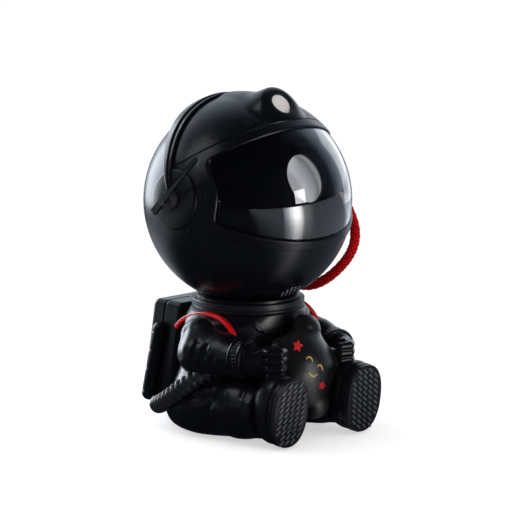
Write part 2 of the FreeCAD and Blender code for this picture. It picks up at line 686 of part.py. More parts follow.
def gear(label, teeth_name, bore_rule, tilt, along, side, across, phase):
    """A spur wheel: a root disc, one tooth, a polar pattern of it and a bore."""
    body = doc.addObject("PartDesign::Body", label)
    module = size("gear_module")
    pitch_radius = module * size(teeth_name) / 2
    root_radius = pitch_radius - 1.15 * module
    flat = find_plane(body, "XY_Plane")

    def sketch(name):
        item = body.newObject("Sketcher::SketchObject", name)
        item.AttachmentSupport = (flat, "")
        item.MapMode = "FlatFace"
        return item

    disc = sketch(label + "_disc")
    disc.addGeometry(Part.Circle(Vector(), Vector(0, 0, 1), root_radius), False)
    ring = disc.addConstraint(Sketcher.Constraint("Radius", 0, root_radius))
    disc.setExpression("Constraints[%d]" % ring, rule("gear_module*(%s/2-1.15)" % teeth_name))
    pad = body.newObject("PartDesign::Pad", label + "_pad")
    pad.Profile = disc
    bind(pad, {"Length": "disc_thick"})

    tooth_step = math.pi * module
    rows = [(root_radius - 0.4 * module, 0.33), (root_radius, 0.30), (pitch_radius, 0.21),
            (pitch_radius + 0.8 * module, 0.10)]
    left = [Vector(r * math.cos(a), r * math.sin(a), 0) for r, a in
            [(r, -share * tooth_step / pitch_radius) for r, share in rows]]
    right = [Vector(point.x, -point.y, 0) for point in reversed(left)]
    outline = left + right
    tooth = sketch(label + "_tooth")
    for start, end in zip(outline, outline[1:] + outline[:1]):
        tooth.addGeometry(Part.LineSegment(start, end), False)
    for edge in range(len(outline)):
        tooth.addConstraint(Sketcher.Constraint("Coincident", edge, 2, (edge + 1) % len(outline), 1))
    tooth_pad = body.newObject("PartDesign::Pad", label + "_tooth_pad")
    tooth_pad.Profile = tooth
    bind(tooth_pad, {"Length": "disc_thick"})
    doc.recompute()

    pattern = body.newObject("PartDesign::PolarPattern", label + "_teeth")
    pattern.Originals = [tooth_pad]
    pattern.Axis = (disc, ["N_Axis"])
    pattern.Angle = 360
    bind(pattern, {"Occurrences": teeth_name})
    body.Tip = pattern
    doc.recompute()

    bore = sketch(label + "_bore")
    bore.addGeometry(Part.Circle(Vector(), Vector(0, 0, 1), 1.0), False)
    hole = bore.addConstraint(Sketcher.Constraint("Radius", 0, 1.0))
    bore.setExpression("Constraints[%d]" % hole, rule(bore_rule))
    pocket = body.newObject("PartDesign::Pocket", label + "_pocket")
    pocket.Profile = bore
    pocket.Type = "ThroughAll"
    pocket.Midplane = True
    body.Tip = pocket
    doc.recompute()
    body.Placement = head_frame(tilt).multiply(
        Placement(Vector(side, across, along), Rotation(Vector(0, 0, 1), phase)))
    return node(label, body)


gear("nebula_disc", "disc_teeth", "pin_radius+running_gap", "optic_tilt", size("disc_start"), 0.0,
     size("disc_rise"), 0.0)
half_tooth = 180.0 / size("pinion_teeth")
gear("motor_pinion", "pinion_teeth", "1.0+running_gap", "optic_tilt", size("disc_start"), gear_distance(),
     size("disc_rise"), 180.0 + half_tooth)

# ---------------------------------------------------------------- sound and controls

SPEAKER_FACE = "sqrt((helmet_radius-shell_wall-free_gap)^2-speaker_radius^2)"
speaker_rim = aimed("speaker_rim", "speaker_radius", "speaker_tilt", SPEAKER_FACE + "-3", SPEAKER_FACE)
speaker_back = aimed("speaker_back", "speaker_radius*0.62", "speaker_tilt", SPEAKER_FACE + "-9",
                     SPEAKER_FACE + "-3")
speaker_dish = aimed("speaker_dish", "speaker_radius-2", "speaker_tilt", SPEAKER_FACE + "-1.6",
                     SPEAKER_FACE + "+5")
node("speaker", cut("speaker", fuse("speaker_solid", speaker_rim, speaker_back), speaker_dish))

BUTTON_NAMES = ["button_laser", "button_power", "button_nebula"]
for place_no, label in zip((-1, 0, 1), BUTTON_NAMES):
    across_x = "%d*button_spacing" % place_no
    cap = aimed(label + "_cap", "button_radius", "button_tilt", "button_back", "button_face", across_x)
    stem = aimed(label + "_stem", "button_radius*0.45", "button_tilt", "button_back-2", "button_back",
                 across_x)
    node(label, fuse(label, cap, stem))

SWITCH_TOP = "(button_back-2-button_travel-0.05)"
SWITCH_TALL = 3.2
switches = [aimed("switch_%d" % place_no, "2.6", "button_tilt", "%s-%g" % (SWITCH_TOP, SWITCH_TALL),
                  SWITCH_TOP, "%d*button_spacing" % place_no) for place_no in (-1, 0, 1)]
tact = doc.addObject("Part::Compound", "tact_switches")
tact.Links = switches
node("tact_switches", tact)
board_top = "(%s-%g-0.02)" % (SWITCH_TOP, SWITCH_TALL)
control_board = on_head(block("button_board", "3.4*button_spacing", "15", "board_thick"), "button_tilt",
                        board_top + "-board_thick", "-1.7*button_spacing", "-7.5")
node("button_board", control_board)
board_sheet = place(block("main_board_sheet", "58", "board_thick", "44"), "-29", "%g" % MAIN_BOARD_Y,
                   "head_height-16")
board_pads = [place(block("chip_%d" % number, "9", "1.5", "9"), "%d" % x, "%g-1.5" % MAIN_BOARD_Y,
                    "head_height+%d" % z) for number, (x, z) in enumerate(((-20, 4), (8, -8), (4, 12)))]
node("main_board", fuse("main_board", board_sheet, *board_pads))


def usb_port():
    """The metal mouth of the power inlet with its tongue."""
    start, end = port_floor - USB_LONG + 1.5, port_floor + 0.6
    shell = port_block(USB_WIDE, USB_HIGH, start, end)
    mouth = port_block(USB_WIDE - 0.6, USB_HIGH - 0.6, start + 1.5, end + 1)
    tongue = port_block(USB_WIDE - 2.4, 0.8, start + 1.4, end - 0.8)
    return shell.cut(mouth).fuse(tongue)


node("usb_port", formed("usb_port", usb_port()))
plate_skin = cut("plate_skin", ball("plate_ball", "helmet_radius-shell_wall-0.1"),
                 ball("plate_hollow", "helmet_radius-shell_wall-1.6"))
node("head_steel_plate", common("head_steel_plate", plate_skin,
                                upright("plate_rod", "seat_bore", "head_height-helmet_radius-1",
                                        "head_height-helmet_radius*0.6")))

# ---------------------------------------------------------------- braided hose beside the helmet

# Its route from the left ear, down past the cheek and back under the helmet, from the helmet's centre.
HOSE_ROUTE = [(73.6, -5.0, 3.0), (73.6, -15.0, -6.0), (71.0, -25.0, -15.0), (67.0, -33.0, -23.7),
              (61.3, -37.8, -32.5), (55.8, -37.2, -41.0), (51.5, -32.0, -49.0), (49.5, -24.0, -55.8),
              (49.0, -14.0, -60.9), (49.0, -4.0, -63.2), (47.0, 5.5, -61.6), (43.2, 13.6, -56.6)]
ARC_SHARE = 0.45


def rounded_path(points, report=""):
    """Straight runs joined by tangent arcs, each as large as its two runs allow."""
    edges, start, length = [], points[0], 0.0
    for before, corner, after in zip(points, points[1:], points[2:]):
        back, ahead_run = before - corner, after - corner
        reach = ARC_SHARE * min(back.Length, ahead_run.Length)
        turn = math.pi - back.getAngle(ahead_run)
        radius = reach / math.tan(turn / 2)
        enter = corner + back.normalize() * reach
        leave = corner + ahead_run.normalize() * reach
        middle = corner + (enter + leave - corner * 2).normalize() * (radius / math.cos(turn / 2) - radius)
        edges.append(Part.LineSegment(start, enter).toShape())
        edges.append(Part.Arc(enter, middle, leave).toShape())
        start = leave
        if report:
            print("%s: radius %.1f at a turn of %.0f degrees" % (report, radius, math.degrees(turn)))
    edges.append(Part.LineSegment(start, points[-1]).toShape())
    return Part.Wire(edges)


def tube_along(points, diameter, report=""):
    path = rounded_path(points, report)
    circle = Part.Wire(Part.makeCircle(diameter / 2, points[0], points[1] - points[0]))
    shape = path.makePipeShell([circle], True, False)
    if report:
        expected = math.pi * diameter ** 2 / 4 * path.Length
        print("%s: length %.1f, volume %.1f of %.1f" % (report, path.Length, shape.Volume, expected))
    return shape


hose_points = [HEAD + Vector(*point) for point in HOSE_ROUTE]
node("braided_hose", formed("braided_hose", tube_along(hose_points, size("hose_diameter"), "braided_hose")))

FERRULE_GROW = 1.4
FERRULE_LONG = 7.0


def ferrule(end, inner):
    """A sleeve that closes an end of the hose, butted against it."""
    axis = (end - inner).normalize()
    return Part.makeCylinder(size("hose_diameter") / 2 + FERRULE_GROW, FERRULE_LONG, end, axis)


def head_ball(radius):
    return Part.makeSphere(radius, HEAD)


def top_fitting():
    """A boss on the left ear disc that the sleeve grows out of."""
    boss = Part.makeCylinder(size("pivot_radius") + 0.6, 12.0,
                             HEAD + Vector(size("cap_radius") - 1, 0, size("ear_rise")), X_AXIS)
    solid = boss.fuse(ferrule(hose_points[0], hose_points[1])).removeSplitter()
    return largest(solid.cut(head_ball(size("cap_radius") + size("ear_raise"))))


def bottom_fitting():
    """The sleeve at the lower end, sitting on the rear shell."""
    solid = ferrule(hose_points[-1], hose_points[-2])
    return largest(solid.cut(head_ball(size("cap_radius"))))


node("hose_fitting_top", formed("hose_fitting_top", top_fitting()))
node("hose_fitting_bottom", formed("hose_fitting_bottom", bottom_fitting()))

# ---------------------------------------------------------------- neck


def turned_ring(name, outline):
    """A ring from its half section of (radius, height) points, as a sketch turned about Z."""
    body = doc.addObject("PartDesign::Body", name)
    sketch = body.newObject("Sketcher::SketchObject", name + "_section")
    sketch.AttachmentSupport = (find_plane(body, "XZ_Plane"), "")
    sketch.MapMode = "FlatFace"
    corners = [Vector(radius, height, 0) for radius, height in outline]
    for start, end in zip(corners, corners[1:] + corners[:1]):
        sketch.addGeometry(Part.LineSegment(start, end), False)
    for edge in range(len(corners)):
        following = (edge + 1) % len(corners)
        sketch.addConstraint(Sketcher.Constraint("Coincident", edge, 2, following, 1))
    turn = body.newObject("PartDesign::Revolution", name + "_turn")
    turn.Profile = sketch
    turn.ReferenceAxis = (sketch, ["V_Axis"])
    turn.Angle = 360
    body.Tip = turn
    return body


BAND_GROOVE = 0.5
low, high = size("collar_base"), size("collar_top")
bore_radius = size("spigot_radius") + 0.1
node("collar_ring", turned_ring("collar_ring", [
    (bore_radius, low), (size("collar_radius") - 0.6, low), (size("collar_radius") - 0.6, low + 1.6),
    (size("collar_radius") - 0.6 - BAND_GROOVE, low + 1.9), (size("collar_radius"), low + 2.3),
    (size("collar_radius"), high - 0.5), (size("collar_radius") - 0.5, high), (bore_radius, high)]))

seat_body = cut("seat_body",
                fuse("seat_solid", upright("seat_lip", "lip_radius", "collar_top+0.1", "lip_top"),
                     upright("seat_spigot", "spigot_radius", "collar_base+0.6", "collar_top+0.1")),
                upright("seat_hole", "seat_bore", "collar_base", "lip_top+5"))
node("seat_ring", cut("seat_ring", seat_body, ball("seat_sphere", "cap_radius+free_gap")))

MAGNET_TOP = "(head_height-helmet_radius-1.3)"
node("neck_magnet", upright("neck_magnet", "magnet_radius", MAGNET_TOP + "-magnet_thick", MAGNET_TOP))
holder_solid = fuse("holder_solid",
                    upright("holder_flange", "spigot_radius+2.4", "collar_base-2.2", "collar_base-0.05"),
                    upright("holder_cup", "seat_bore-0.5", MAGNET_TOP + "-magnet_thick-2.5",
                            "collar_base-0.05"))
node("magnet_holder", cut("magnet_holder", holder_solid,
                          upright("magnet_pocket", "magnet_radius+0.1", MAGNET_TOP + "-magnet_thick-0.05",
                                  "collar_top")))

# ---------------------------------------------------------------- figure

GROUND_GAP = size("foot_pad")


def oval(width, depth, y, z):
    """An ellipse across the figure, wherever its long side lies."""
    curve = Part.Ellipse(Vector(0, y, z), max(width, depth) / 2 + 0.001, min(width, depth) / 2)
    if depth > width:
        curve.rotate(Placement(Vector(0, y, z), Rotation(Vector(0, 0, 1), 90), Vector()))
    return Part.Wire(curve.toShape())


def torso(shrink):
    """Hips, waist, chest and shoulders as one smooth run of ovals."""
    hip_w, hip_d, chest = size("hip_width"), size("hip_depth"), size("chest_width")
    top = size("collar_base")
    rows = [
        (hip_w * 0.80, hip_d * 0.80, 3.0, GROUND_GAP),
        (hip_w * 0.955, hip_d * 0.955, 4.0, 8.0),
        (hip_w, hip_d, 4.5, 19.0),
        (hip_w * 0.90, hip_d * 0.91, 2.5, 33.0),
        (chest * 1.02, hip_d * 0.86, 0.5, 48.0),
        (chest * 1.01, hip_d * 0.85, 0.0, top - 18),
        (chest * 0.97, hip_d * 0.87, 0.0, top - 7),
        (size("collar_radius") * 2.05, size("collar_radius") * 1.98, 0.0, top),
    ]
    rows[0] = rows[0][:3] + (rows[0][3] + shrink,)
    rows[-1] = rows[-1][:3] + (rows[-1][3] - shrink,)
    return Part.makeLoft([oval(w - 2 * shrink, d - 2 * shrink, y, z) for w, d, y, z in rows], True)


LEG_END = size("foot_reach") - size("sole_thick") - size("boot_length") + 1.0
LEG_HEIGHT = size("leg_radius") + 1.6


def leg(side, shrink):
    start = Vector(side * size("foot_spread"), -4.0, LEG_HEIGHT)
    reach = LEG_END - 4.0 - max(shrink, 0.0)
    return Part.makeCylinder(size("leg_radius") - shrink, reach, start, Vector(0, -1, 0))


def figure(shrink):
    return torso(shrink).fuse([leg(-1, shrink), leg(1, shrink)]).removeSplitter()


figure_outside = figure(0.0)
figure_clear = figure(-0.12)      # what lies against the figure is cut to this
figure_inside = figure(size("body_wall"))
FIGURE_SPLIT = 3.0
BASE_WIDTH, BASE_DEPTH, BASE_Y = 84.0, 62.0, 3.0
neck_way = Part.makeCylinder(size("spigot_radius") + 2.6, 30, Vector(0, 0, size("collar_base") - 8))
base_way = Part.Face(oval(BASE_WIDTH + 0.4, BASE_DEPTH + 0.4, BASE_Y, -5)).extrude(Vector(0, 0, 12))
figure_skin = figure_outside.cut(figure_inside).cut(neck_way).cut(base_way)
front_part = Part.makeBox(400, 400, 400, Vector(-200, FIGURE_SPLIT - 400, -100))
rear_part = Part.makeBox(400, 400, 400, Vector(-200, FIGURE_SPLIT, -100))
node("body_front_shell", formed("body_front_shell", largest(figure_skin.common(front_part))))
node("body_rear_shell", formed("body_rear_shell", largest(figure_skin.common(rear_part))))

# Each arm: shoulder, elbow, wrist and closed hand as (from the middle, y, z), radius.
ARM_ROUTES = {
    "right": [((45.0, 2.0, 60.0), 12.6), ((50.5, -5.0, 55.5), 13.6), ((41.5, -43.0, 55.5), 12.4),
              ((31.0, -55.5, 55.5), 12.2)],
    "left": [((45.0, 2.0, 60.0), 12.6), ((51.5, -5.0, 52.5), 13.4), ((43.0, -41.0, 50.5), 12.2),
             ((33.0, -51.0, 50.5), 12.0)],
}
SLEEVE_SHARE = 0.985             # a sleeve runs just inside the balls it joins
BALL_TURN = 45.0                 # keeps the seams of the balls off the figure's edges


def limb(start, start_radius, end, end_radius):
    axis = end - start
    return Part.makeCone(start_radius * SLEEVE_SHARE, end_radius * SLEEVE_SHARE, axis.Length, start, axis)


def joint_ball(centre, radius):
    ball_shape = Part.makeSphere(radius)
    ball_shape.Placement = FreeCAD.Placement(centre, FreeCAD.Rotation(Vector(0, 0, 1), BALL_TURN))
    return ball_shape


def arm(side, route):
    """Rounded joints and the tapered sleeves between them, cut to lie against the figure."""
    joints = [(Vector(side * x, y, z), radius) for (x, y, z), radius in route]
    balls = [joint_ball(centre, radius) for centre, radius in joints]
    sleeves = [limb(start, start_radius, end, end_radius)
               for (start, start_radius), (end, end_radius) in zip(joints, joints[1:])]
    return largest(balls[0].fuse(balls[1:] + sleeves).cut(figure_clear))


arms = {"right": arm(-1, ARM_ROUTES["right"]), "left": arm(1, ARM_ROUTES["left"])}
for side_name, shape in arms.items():
    node("arm_" + side_name, formed("arm_" + side_name, shape))


def foot_ring(width, height, along):
    """An upright ellipse square to Y."""
    centre = Vector(0, along, 0)
    tall = centre + Vector(0, 0, height / 2)
    wide = centre + Vector(width / 2, 0, 0)
    return Part.Wire(Part.Ellipse(tall, wide, centre).toShape())


def foot_frame(side):
    half = size("sole_height") / 2
    lean = math.radians(size("sole_lean"))
    rise = half * math.cos(lean) + size("sole_thick") * math.sin(lean)
    return Placement(Vector(side * size("foot_spread"), -size("foot_reach"), rise),
                     Rotation(X_AXIS, size("sole_lean")))


def boot():
    wide, tall = size("sole_width"), size("sole_height")
    start, end = size("sole_thick") + 0.05, size("sole_thick") + size("boot_length")
    rows = [(start, 0.97), (start + 3, 1.0), (start + 9, 0.965), (end, 0.92)]
    return Part.makeLoft([foot_ring(wide * share, tall * share, along) for along, share in rows], True)


def sole():
    wide, tall, thick = size("sole_width"), size("sole_height"), size("sole_thick")
    return Part.makeLoft([foot_ring(wide * share, tall * share, along)
                          for along, share in ((0, 0.97), (0.8, 1.0), (thick, 1.0))], True)


boots = {}
for side, side_name in ((-1, "right"), (1, "left")):
    frame = foot_frame(side)
    boot_shape = boot()
    boot_shape.Placement = frame
    boot_shape = largest(boot_shape.cut(figure_clear).cut(arms[side_name]))
    above_floor = Part.makeBox(400, 400, 400, Vector(-200, -200, 0.0))
    boots[side_name] = largest(boot_shape.common(above_floor))
    node("boot_" + side_name, formed("boot_" + side_name, boots[side_name]))
    sole_shape = sole()
    sole_shape.Placement = frame
    node("sole_" + side_name, formed("sole_" + side_name, largest(sole_shape.common(above_floor))))

STAR_CENTRE = Vector(0, -49.5, 45.5)


def star_outline(scale, height):
    corners = []
    for number in range(10):
        radius = size("star_radius") if number % 2 == 0 else size("star_inner")
        angle = math.radians(90 + size("star_turn") + 36 * number)
        corners.append(Vector(radius * scale * math.cos(angle), radius * scale * math.sin(angle), height))
    return Part.makePolygon(corners + corners[:1])


def star_cushion():
    """A puffed five-pointed star, leaning on the chest between the arms."""
    half = size("star_thick") / 2
    levels = [(-half, 0.66), (-half * 0.72, 0.88), (0, 1.0), (half * 0.72, 0.88), (half, 0.66)]
    shape = Part.makeLoft([star_outline(scale, height) for height, scale in levels], True, True)
    shape.Placement = Placement(STAR_CENTRE, Rotation(X_AXIS, 90 - size("star_lean")))
    neighbours = [figure_clear, arms["right"], arms["left"], boots["right"], boots["left"]]
    for neighbour in neighbours:
        shape = largest(shape.cut(neighbour))
    return shape


node("star_cushion", formed("star_cushion", star_cushion()))


# base
PLATE_LOW = GROUND_GAP + 0.1
BASE_PLATE_THICK = 2.4
PAD_WIDTH, PAD_DEPTH = 56.0, 34.0
BASE_SCREWS = [(-16.0, -20.0), (16.0, -20.0), (-16.0, 26.0), (16.0, 26.0)]
PAD_SINK = 0.8


def base_plate():
    """The cover under the figure: an oval pad with four bores and a shallow seat for the rubber pad."""
    body = doc.addObject("PartDesign::Body", "base_plate")

    def sketch(name):
        item = body.newObject("Sketcher::SketchObject", name)
        item.AttachmentSupport = (find_plane(body, "XY_Plane"), "")
        item.MapMode = "FlatFace"
        return item

    outline = sketch("base_outline")
    outline.addGeometry(Part.Ellipse(Vector(0, BASE_Y, 0), BASE_WIDTH / 2, BASE_DEPTH / 2), False)
    pad = body.newObject("PartDesign::Pad", "base_pad")
    pad.Profile = outline
    pad.Length = BASE_PLATE_THICK
    bores = sketch("base_bores")
    for x, y in BASE_SCREWS:
        bores.addGeometry(Part.Circle(Vector(x, y, 0), Vector(0, 0, 1), 1.4), False)
    seat = sketch("base_seat")
    seat.addGeometry(Part.Ellipse(Vector(0, BASE_Y, 0), PAD_WIDTH / 2 + 0.1, PAD_DEPTH / 2 + 0.1), False)
    for profile, depth in ((bores, BASE_PLATE_THICK + 1), (seat, PAD_SINK)):
        doc.recompute()
        pocket = body.newObject("PartDesign::Pocket", profile.Name + "_pocket")
        pocket.Profile = profile
        pocket.Length = depth
        pocket.Reversed = True
        body.Tip = pocket
    doc.recompute()
    body.Placement = Placement(Vector(0, 0, PLATE_LOW), Rotation())
    return body


node("base_plate", base_plate())
pad_face = Part.Face(oval(PAD_WIDTH, PAD_DEPTH, BASE_Y, 0.0))
node("rubber_pad", formed("rubber_pad", pad_face.extrude(Vector(0, 0, PLATE_LOW + PAD_SINK - 0.02))))


def base_screw(x, y):
    """A screw up through the base plate into the block above it."""
    shaft = Part.makeCylinder(1.3, 9.0, Vector(x, y, PLATE_LOW))
    head = Part.makeCylinder(2.6, 0.9, Vector(x, y, PLATE_LOW - 0.9))
    return head.fuse(shaft).removeSplitter()


node("base_screws", formed("base_screws", Part.makeCompound([base_screw(x, y) for x, y in BASE_SCREWS])))
WEIGHT_LOW = PLATE_LOW + BASE_PLATE_THICK + 0.05
WEIGHT_TALL = 9.0
weight = Part.Face(oval(76.0, 58.0, BASE_Y, WEIGHT_LOW)).extrude(Vector(0, 0, WEIGHT_TALL))
weight_bores = [Part.makeCylinder(1.35, 12, Vector(x, y, WEIGHT_LOW - 1)) for x, y in BASE_SCREWS]
node("counterweight", formed("counterweight", weight.cut(Part.makeCompound(weight_bores))))

# ---------------------------------------------------------------- backpack, hoses, straps

PACK_OUTLINE = [(29.0, "top"), (56.2, "top"), (67.2, 16.0), (40.0, 8.0)]
PACK_ROUND = 4.0


def pack_points():
    return [(y, size("pack_top") if z == "top" else z) for y, z in PACK_OUTLINE]


def pack_body(shrink):
    """The backpack as a leaning box with rounded edges, made smaller all round for its hollow."""
    half = size("pack_width") / 2 - shrink
    corners = [Vector(-half, y, z) for y, z in pack_points()]
    wire = Part.makePolygon(corners + corners[:1])
    if shrink:
        wire = wire.makeOffset2D(-shrink)
    solid = Part.Face(wire).extrude(Vector(2 * half, 0, 0))
    return solid.makeFillet(max(PACK_ROUND - shrink, 0.5), solid.Edges)


pack_skin = pack_body(0.0).cut(pack_body(size("pack_wall")))
back_high, back_low = [Vector(0, y, z) for y, z in pack_points()[1:3]]
back_up = (back_high - back_low).normalize()
back_out = back_up.cross(X_AXIS)
if back_out.y < 0:
    back_out = back_out * -1
seam_block = Part.makeBox(400, 400, 400, Vector(-200, 0, -200))
seam_block.Placement = Placement(back_low - back_out * size("pack_seam"),
                                 Rotation(Vector(0, 1, 0), back_out))
pack_rear = largest(pack_skin.common(seam_block))
collar_clear = Part.makeCylinder(size("collar_radius") + 0.2, 40, Vector(0, 0, size("collar_base") - 5))
pack_front = largest(pack_skin.cut(seam_block).cut(figure_clear).cut(collar_clear))
node("backpack_rear_shell", formed("backpack_rear_shell", pack_rear))
node("backpack_front_shell", formed("backpack_front_shell", pack_front))

TANK_TOP = Vector(0, 48.0, 62.0)
TANK_LOW = Vector(0, 58.5, 18.0)
pack_full = pack_body(0.0)


def tank(side):
    """A rounded rib standing half out of the side of the backpack."""
    radius = size("tank_radius")
    offset = Vector(side * (size("pack_width") / 2 + 1.6), 0, 0)
    low_end, high_end = TANK_LOW + offset, TANK_TOP + offset
    body = Part.makeCylinder(radius, (high_end - low_end).Length, low_end, high_end - low_end)
    solid = body.fuse([Part.makeSphere(radius, low_end), Part.makeSphere(radius, high_end)])
    return largest(solid.cut(pack_full).cut(figure_clear))


PIPE_ROUTE = [(36.0, 44.0, 14.0), (46.5, 36.0, 15.5), (54.8, 24.0, 19.5), (58.0, 12.0, 26.0),
              (57.5, 0.0, 34.5), (53.5, -10.0, 42.0), (45.0, -16.0, 47.0)]
for side, side_name in ((-1, "right"), (1, "left")):
    tank_shape = tank(side)
    route = [Vector(side * x, y, z) for x, y, z in PIPE_ROUTE]
    pipe = tube_along(route, 2 * size("pipe_radius"), "waist_hose_" + side_name)
    pipe = largest(pipe.cut(figure_clear).cut(pack_full).cut(arms[side_name]).cut(tank_shape))
    node("tank_" + side_name, formed("tank_" + side_name, tank_shape))
    node("waist_hose_" + side_name, formed("waist_hose_" + side_name, pipe))

STRAP_TOP = [(31.0, 63.0), (29.5, 66.5), (23.5, 72.8), (13.5, 77.8), (2.5, 80.4), (-5.5, 80.7), (-14.0, 79.0),
             (-21.0, 75.2), (-25.5, 70.5), (-28.5, 65.0)]


def strap(side):
    """A band over the shoulder: a side outline filled down to the figure."""
    wide, middle = size("strap_width"), size("strap_x")
    lower = [(y, z - 14.0) for y, z in reversed(STRAP_TOP)]
    band = side_prism(STRAP_TOP + lower, wide / 2, Vector(side * middle, 0, 0))
    band = band.cut(figure_clear).cut(pack_full).cut(arms["right"]).cut(arms["left"]).cut(collar_clear)
    return largest(band)


for side, side_name in ((-1, "right"), (1, "left")):
    node("shoulder_strap_" + side_name, formed("shoulder_strap_" + side_name, strap(side)))

# ---------------------------------------------------------------- checks and files

doc.recompute()
for item in doc.Objects:
    if {"Invalid", "Error"} & set(item.State):
        raise RuntimeError("%s failed: %s" % (item.Name, item.State))
for item in ALL_NODES:
    if item.Shape.isNull() or not item.Shape.isValid() or not item.Shape.Solids:
        raise RuntimeError("%s has no sound solid" % item.Label)

os.makedirs("parts", exist_ok=True)
for item in ALL_NODES:
    item.Shape.exportStep("parts/%s.step" % item.Label)
    print("%-24s %3d solid(s) %10.1f mm3" % (item.Label, len(item.Shape.Solids), item.Shape.Volume))
print(len(ALL_NODES), "nodes")
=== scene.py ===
"""Looks of the seated spaceman star projector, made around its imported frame.

Lengths are millimetres until a mesh is written, which is in metres. The origin is on the ground
under the neck axis, +Z is up and the figure faces -Y, so its right hand is on -X.
"""
import json
import math

import bmesh
import bpy
import numpy as np
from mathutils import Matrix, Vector

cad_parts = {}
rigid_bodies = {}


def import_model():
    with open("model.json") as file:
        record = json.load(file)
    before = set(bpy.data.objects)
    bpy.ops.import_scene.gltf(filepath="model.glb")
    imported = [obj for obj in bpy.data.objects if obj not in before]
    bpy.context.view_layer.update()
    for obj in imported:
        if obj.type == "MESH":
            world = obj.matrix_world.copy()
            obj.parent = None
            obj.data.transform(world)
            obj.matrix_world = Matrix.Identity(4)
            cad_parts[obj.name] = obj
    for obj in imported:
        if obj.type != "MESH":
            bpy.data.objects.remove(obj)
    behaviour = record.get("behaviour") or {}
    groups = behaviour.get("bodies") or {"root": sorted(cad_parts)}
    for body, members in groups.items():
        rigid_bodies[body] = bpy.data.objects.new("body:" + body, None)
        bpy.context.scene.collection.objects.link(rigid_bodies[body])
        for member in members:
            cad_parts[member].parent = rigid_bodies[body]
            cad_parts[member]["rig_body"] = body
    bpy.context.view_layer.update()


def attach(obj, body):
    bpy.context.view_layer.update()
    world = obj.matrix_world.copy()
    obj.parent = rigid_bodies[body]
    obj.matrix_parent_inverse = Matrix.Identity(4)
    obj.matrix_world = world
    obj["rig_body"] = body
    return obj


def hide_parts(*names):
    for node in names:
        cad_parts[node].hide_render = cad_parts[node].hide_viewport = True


for thing in list(bpy.data.objects):
    bpy.data.objects.remove(thing)

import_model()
MM = 0.001
FINE = 1.0
SIDES = ((-1, "right"), (1, "left"))

# ------------------------------------------------------------------ camera and the photograph's frame

VIEW_TURN = math.radians(45.0)              # camera's place round the figure, towards its right
VIEW_RISE = math.radians(10.3)
PIXEL = 0.657                               # millimetres a pixel covers at the figure
FRAME_PIXELS = 512
NECK_PIXEL = (247.9, 424.6)                 # where the origin falls in the photograph
CAMERA_AWAY = 3000.0
SENSOR = 36.0

UP = Vector((0.0, 0.0, 1.0))
RIGHT = Vector((math.cos(VIEW_TURN), -math.sin(VIEW_TURN), 0.0))
LEVEL = Vector((-math.sin(VIEW_TURN), -math.cos(VIEW_TURN), 0.0))
TOWARDS = LEVEL * math.cos(VIEW_RISE) + UP * math.sin(VIEW_RISE)
ABOVE = UP * math.cos(VIEW_RISE) - LEVEL * math.sin(VIEW_RISE)


def seen_at(across, down):
    """The point at a pixel of the photograph, as far from the camera as the origin is."""
    return RIGHT * (across - NECK_PIXEL[0]) * PIXEL + ABOVE * (NECK_PIXEL[1] - down) * PIXEL


def make_camera():
    camera = bpy.data.objects.new("camera", bpy.data.cameras.new("camera"))
    bpy.context.scene.collection.objects.link(camera)
    aim = seen_at(FRAME_PIXELS / 2, FRAME_PIXELS / 2)
    camera.location = (aim + TOWARDS * CAMERA_AWAY) * MM
    camera.rotation_euler = TOWARDS.to_track_quat("Z", "Y").to_euler()
    camera.data.sensor_width = SENSOR
    camera.data.lens = CAMERA_AWAY * SENSOR / (FRAME_PIXELS * PIXEL)
    camera.data.clip_start = 0.1
    camera.data.clip_end = 20.0
    bpy.context.scene.camera = camera


make_camera()

# ------------------------------------------------------------------ materials


def fed(tree, node, inputs):
    """Give a node its inputs, each a value or another node's output."""
    for key, value in inputs.items():
        if isinstance(value, bpy.types.NodeSocket):
            tree.links.new(value, node.inputs[key])
        else:
            node.inputs[key].default_value = value
    return node


def add_node(tree, kind, inputs=None, **settings):
    """A new shader node of a kind, with its settings and inputs."""
    node = tree.nodes.new("ShaderNode" + kind)
    for setting, value in settings.items():
        setattr(node, setting, value)
    return fed(tree, node, inputs or {})


def new_material(name, **sockets):
    """A Principled material with the given socket values, its node tree and its shader."""
    material = bpy.data.materials.new(name)
    material.use_nodes = True
    shader = material.node_tree.nodes["Principled BSDF"]
    fed(material.node_tree, shader, {socket.replace("_", " "): value for socket, value in sockets.items()})
    return material, material.node_tree, shader


def texture_place(tree):
    return add_node(tree, "TexCoord").outputs["Object"]


def level(tree, place, axis, scale, shift):
    """A place's distance along an axis, scaled and shifted."""
    dot = add_node(tree, "VectorMath", {0: place, 1: tuple(axis)}, operation="DOT_PRODUCT")
    return add_node(tree, "Math", {0: dot.outputs["Value"], 1: scale, 2: shift},
                    operation="MULTIPLY_ADD").outputs[0]


def noise(tree, scale, detail=3.0):
    return add_node(tree, "TexNoise", {"Scale": scale, "Detail": detail, "Roughness": 0.55,
                                       "Vector": texture_place(tree)}).outputs["Fac"]


def spread(tree, source, middle, reach):
    """Map a 0.3 to 0.7 noise onto a range about a middle value."""
    limits = {"From Min": 0.3, "From Max": 0.7, "To Min": middle - reach, "To Max": middle + reach}
    return add_node(tree, "MapRange", {"Value": source, **limits}).outputs["Result"]


def ramp(tree, source, *stops):
    node = add_node(tree, "ValToRGB", {"Fac": source})
    ends = node.color_ramp.elements
    while len(ends) < len(stops):
        ends.new(0.5)
    for end, (place, colour) in zip(ends, stops):
        end.position = place
        end.color = (*colour, 1.0)
    return node.outputs["Color"]


def grey(place, value):
    """A colourless stop of a ramp."""
    return place, (value, value, value)


def bump(tree, height, depth):
    return add_node(tree, "Bump", {"Distance": depth * MM, "Strength": 1.0,
                                   "Height": height}).outputs["Normal"]


